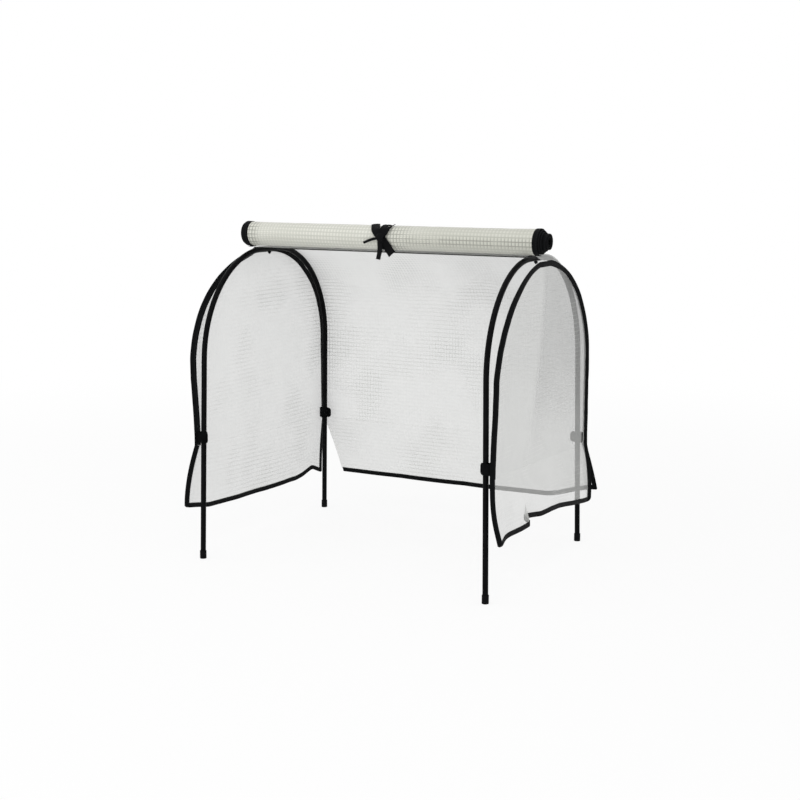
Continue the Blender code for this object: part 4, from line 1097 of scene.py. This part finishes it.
def build_tie():
    """The ribbon round the roll, its knot and its loose ends."""
    centre = Vector((TIE_X, ROLL_AXIS_Y, ROLL_AXIS_Z))
    bore = ROLL_RADIUS * roll_swell(TIE_X) + 0.0006
    face = bore + RIBBON
    lift = RIBBON / 2
    crimp = ((1.0, 0.0), (0.4, 0.0005), (-0.2, -0.0004), (-0.7, 0.0006), (-1.0, 0.0))
    profile = [(a, lift + crease) for a, crease in crimp] + [(a, -0.2 * lift) for a, _ in crimp[::-1]]
    rings = []
    for turn in spread(0.0, 2 * math.pi, 64)[:-1]:
        out = Vector((0.0, math.sin(turn), -math.cos(turn)))
        point = centre + (bore + lift) * out + Vector((0.0015 * out.y, 0.0, 0.0))
        half = RIBBON_WIDTH / 2 * (0.62 + 0.3 * abs(math.sin(turn / 2 - math.pi / 4)))
        rings.append(ribbon_ring(point, Vector((1.0, 0.0, 0.0)), half, out, bore * turn, profile))
    loop = rings_piece("tie_band", rings, closed=True)
    finish(loop, GROSGRAIN, "flap_roll", ["tie_loop"])

    tails = []
    section = both_faces([(1.0, 0.6), (0.5, 1.0), (0.0, 1.0), (-0.5, 1.0), (-1.0, 0.6)])
    for number, (width, tip, offsets) in enumerate(TIE_TAILS):
        line = []
        for offset in offsets:
            sideways, upward, outward = (value / 1000 for value in offset)
            reach = math.sqrt(max(0.0, face * face - upward * upward))
            if upward < 0:
                reach = max(reach, 0.72 * face)
            line.append(centre + Vector((sideways, -reach - outward, upward)))
        line = curve_through(line, 22)
        # The broad ends lie open to the front
        toward = 1.6 * Vector((0.3, -1.0, 0.1)) if number in (0, 4) else Vector()
        rings = []
        run = 0.0
        for step, point in enumerate(line):
            before, after = line[max(0, step - 1)], line[min(22, step + 1)]
            run += (point - before).length
            tangent = (after - before).normalized()
            up = Vector((0.0, point.y - centre.y, point.z - centre.z)).normalized()
            twist = Vector((0.3 * math.sin(2.2 * step / 22 + number), 0.0, 0.0))
            out = (up + twist + toward).normalized()
            out = (out - out.dot(tangent) * tangent).normalized()
            half = width / 2 * (0.5 + 0.5 * smooth_step(step / 7))
            half *= 1 - (1 - tip) * smooth_step((step - 10) / 12)
            profile = [(a, height * lift + 0.08 * half * (1 - a * a)) for a, height in section]
            rings.append(ribbon_ring(point, tangent.cross(out).normalized(), half, out, run, profile))
        tails.append(finish(rings_piece(f"tie_tail_{number}", rings), GROSGRAIN, "flap_roll", []))

    # The knot: two short bands drawn tight over each other
    bands = []
    places = (1.0, 0.5, 0.0, -0.5, -1.0)
    profile = [(a, 0.0009 + 0.0012 * (1 - a * a)) for a in places] + [(a, -0.0006) for a in places[::-1]]
    knot = centre + Vector((0.0, -face - 0.0045, 0.0))
    for number, (tilt, width, reach) in enumerate(KNOT_BANDS):
        along = Vector((math.sin(tilt), 0.0, math.cos(tilt)))
        wide = Vector((math.cos(tilt), 0.0, -math.sin(tilt)))
        rings = []
        for angle in spread(0.0, 2 * math.pi, 28)[:-1]:
            front = Vector((0.0, -math.cos(angle), 0.0))
            point = knot + along * reach * math.sin(angle) + 0.0065 * front
            half = width / 2 * (0.85 + 0.15 * math.cos(2 * angle))
            out = along * math.sin(angle) + front
            rings.append(ribbon_ring(point, wide, half, out, reach * angle, profile))
        nodes = ["tie_bow"] if number == 0 else []
        band = rings_piece(f"tie_knot_{number}", rings, closed=True)
        bands.append(finish(band, GROSGRAIN, "flap_roll", nodes))
    return [loop, *tails, *bands]


def build_strap(word, label, x_side, y_side, height):
    """A hook-and-loop strap once round the leg, with its free end lapped over."""
    name = f"{word}_{label}"
    leg = leg_centre(x_side, y_side, height)
    radius = TUBE_RADIUS + 0.0009 + STRAP / 2
    straight = END_PANEL_X - TAPE / 2 - GAP - STRAP / 2 - radius - abs(leg.x)
    arc = math.pi * radius
    loop = 2 * (straight + arc)
    top = STRAP_HEIGHT / 2
    section = both_faces([(-top, 0.5), (-top * 0.94, 1.0), (top * 0.94, 1.0), (top, 0.5)])
    rings = []
    for travel in spread(0.0, loop + STRAP_LAP, 90):
        lift = (STRAP + GAP) * smooth_step((travel - loop + 0.010) / 0.010)
        turn = travel % loop
        # Out along one side, round the far bend, back along the other side and round the leg
        if turn < straight:
            out, angle = turn, -math.pi / 2
        elif turn < straight + arc:
            out, angle = straight, -math.pi / 2 + (turn - straight) / radius
        elif turn < 2 * straight + arc:
            out, angle = 2 * straight + arc - turn, math.pi / 2
        else:
            out, angle = 0.0, math.pi / 2 + (turn - 2 * straight - arc) / radius
        ring = []
        for up, face in section:
            reach = radius + lift + face * STRAP / 2
            x = leg.x + x_side * (out + reach * math.cos(angle))
            ring.append((Vector((x, leg.y + reach * math.sin(angle), height + up)), (travel, up + top)))
        rings.append(ring)
    finish(rings_piece(f"{name}_band", rings), HOOK_AND_LOOP, "cover", [f"{name}_strap"])

    # Its two ends pressed together on the inner side of the leg
    reach = STRAP_TAB[name]
    start = leg.x - x_side * (radius - 0.001)
    profile = both_faces([(0.0, -top), (reach * 0.6, -top), (reach, -top * 0.6)])
    rings = []
    for y in (leg.y - STRAP, leg.y + STRAP):
        rings.append([(Vector((start - x_side * out, y, height + up)), (out, up)) for out, up in profile])
    finish(rings_piece(f"{name}_tab", rings), HOOK_AND_LOOP, "cover", [])

    # The patch that sews it to the end panel's bound edge
    turn = edge_turn(y_side * run_at_height(height), x_side)
    inward = Vector((math.sin(turn), -y_side * math.cos(turn), 0.0))
    out = Vector((x_side * math.cos(turn), x_side * y_side * math.sin(turn), 0.0))
    x = x_side * END_PANEL_X + edge_shift(turn, x_side)
    frames = []
    for z in spread(height - top, height + top, 6):
        point = Vector((x, edge_point(y_side * run_at_height(z), 0.0, x_side).y, z))
        frames.append((point - (TAPE / 2 + STRAP / 2 + GAP) * out, inward, out))
    patch = strip_piece(f"{name}_patch", frames, TAPE_WIDTH * 0.7, STRAP)
    finish(patch, HOOK_AND_LOOP, "cover", [])


# The camera and the light


def build_camera():
    """The photograph's viewpoint: from the front right, a little above the ridge."""
    data = bpy.data.cameras.new("view")
    data.sensor_width = 36.0
    data.lens = 61.76
    camera = add_object("view", data)
    place = Matrix.Translation((1.8862 + HOOP_X, -3.6317 + HOOP_Y, 1.1618))
    turn = Matrix.Rotation(0.4757, 4, "Z")
    tilt = Matrix.Rotation(math.pi / 2 - 0.1684, 4, "X")
    roll = Matrix.Rotation(0.0048, 4, "Z")
    camera.matrix_world = place @ turn @ tilt @ roll
    bpy.context.scene.camera = camera
    bpy.context.scene.view_settings.view_transform = "Standard"


def seen_share(tree):
    """1 for rays from the camera, and from metal and glass, and 0 for the light itself."""
    path = add_node(tree, "LightPath")
    seen = path["Is Camera Ray"]
    for name in ("Is Glossy Ray", "Is Transmission Ray"):
        seen = add_node(tree, "Math", {0: seen, 1: path[name]}, operation="MAXIMUM")[0]
    return seen


def build_world():
    """White to the eye, and a plain grey sky as light."""
    world = bpy.data.worlds.new("studio")
    bpy.context.scene.world = world
    world.use_nodes = True
    tree = world.node_tree
    tree.nodes.clear()
    light = add_node(tree, "Background", {0: srgb("#FFFFFF"), 1: 0.74})[0]
    white = add_node(tree, "Background", {0: srgb("#FFFFFF"), 1: 1.0})[0]
    mixed = add_node(tree, "MixShader", {0: seen_share(tree), 1: light, 2: white})[0]
    add_node(tree, "OutputWorld", {0: mixed})


def build_floor():
    """A pale floor that is white to the eye and keeps a faint shadow under the object."""
    deselect()
    bpy.ops.mesh.primitive_circle_add(vertices=96, radius=60.0, fill_type="TRIFAN")
    floor = bpy.context.object
    floor.name = "studio_floor"
    material, tree = new_material("white_painted_floor")
    place = add_node(tree, "TexCoord")["Object"]
    far = add_node(tree, "VectorMath", {0: place}, operation="LENGTH")["Value"]
    edge = {0: far, 1: 1.0, 2: 4.0, 3: 0.86, 4: 1.0}
    fade = add_node(tree, "MapRange", edge, interpolation_type="SMOOTHSTEP")[0]
    share = add_node(tree, "Math", {0: fade, 1: seen_share(tree)}, operation="MULTIPLY")[0]
    matt = add_node(tree, "BsdfDiffuse", {0: srgb("#F2F2F2")})[0]
    white = add_node(tree, "Emission", {0: srgb("#FFFFFF"), 1: 1.0})[0]
    mixed = add_node(tree, "MixShader", {0: share, 1: matt, 2: white})[0]
    add_node(tree, "OutputMaterial", {0: mixed})
    floor.data.materials.append(material)
    deselect()


def add_lamp(name, place, aim, size, power):
    """A square soft box aimed at a point."""
    data = bpy.data.lights.new(name, "AREA")
    data.shape = "SQUARE"
    data.size = size
    data.energy = power
    lamp = add_object(name, data)
    lamp.location = place
    lamp.rotation_euler = (Vector(aim) - Vector(place)).to_track_quat("-Z", "Y").to_euler()


def build_all():
    """The whole dressed cover."""
    build_camera()
    build_world()
    build_floor()
    add_lamp("top_soft_box", (0.6, -1.6, 3.4), (0.0, 0.0, 0.5), 3.0, 33.0)
    add_lamp("front_soft_box", (0.2, -4.2, 0.3), (0.0, 0.0, 0.7), 2.4, 33.0)
    add_lamp("side_soft_box", (-3.0, -2.0, 1.8), (0.0, 0.0, 0.5), 2.0, 18.0)

    for label, x_side in (("left", -1), ("right", 1)):
        build_arch(label, x_side)
        for word, y_side, height in (("front", -1, CREASE_FRONT_Z), ("back", 1, CREASE_BACK_Z)):
            build_leg(label, word, x_side, y_side)
            build_cap(word, label, x_side, y_side)
            build_strap(word, label, x_side, y_side, height + STRAP_RISE)
        build_end_panel(label, x_side)
        surface = functools.partial(side_skirt_point, x_side)
        build_skirt(label, surface, CREASE_LENGTH)
    build_ridge()
    build_roof()
    build_skirt("back", back_skirt_point, 2 * ROOF_HALF_WIDTH)
    lead = build_lead()
    film, (size, area), tapes = build_roll()
    tie = build_tie()

    for node in ("left_ridge_bolt", "right_ridge_bolt", "left_ridge_nut", "right_ridge_nut"):
        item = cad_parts[node]
        item.data.materials.clear()
        item.data.materials.append(BLACK_ZINC)


build_all()
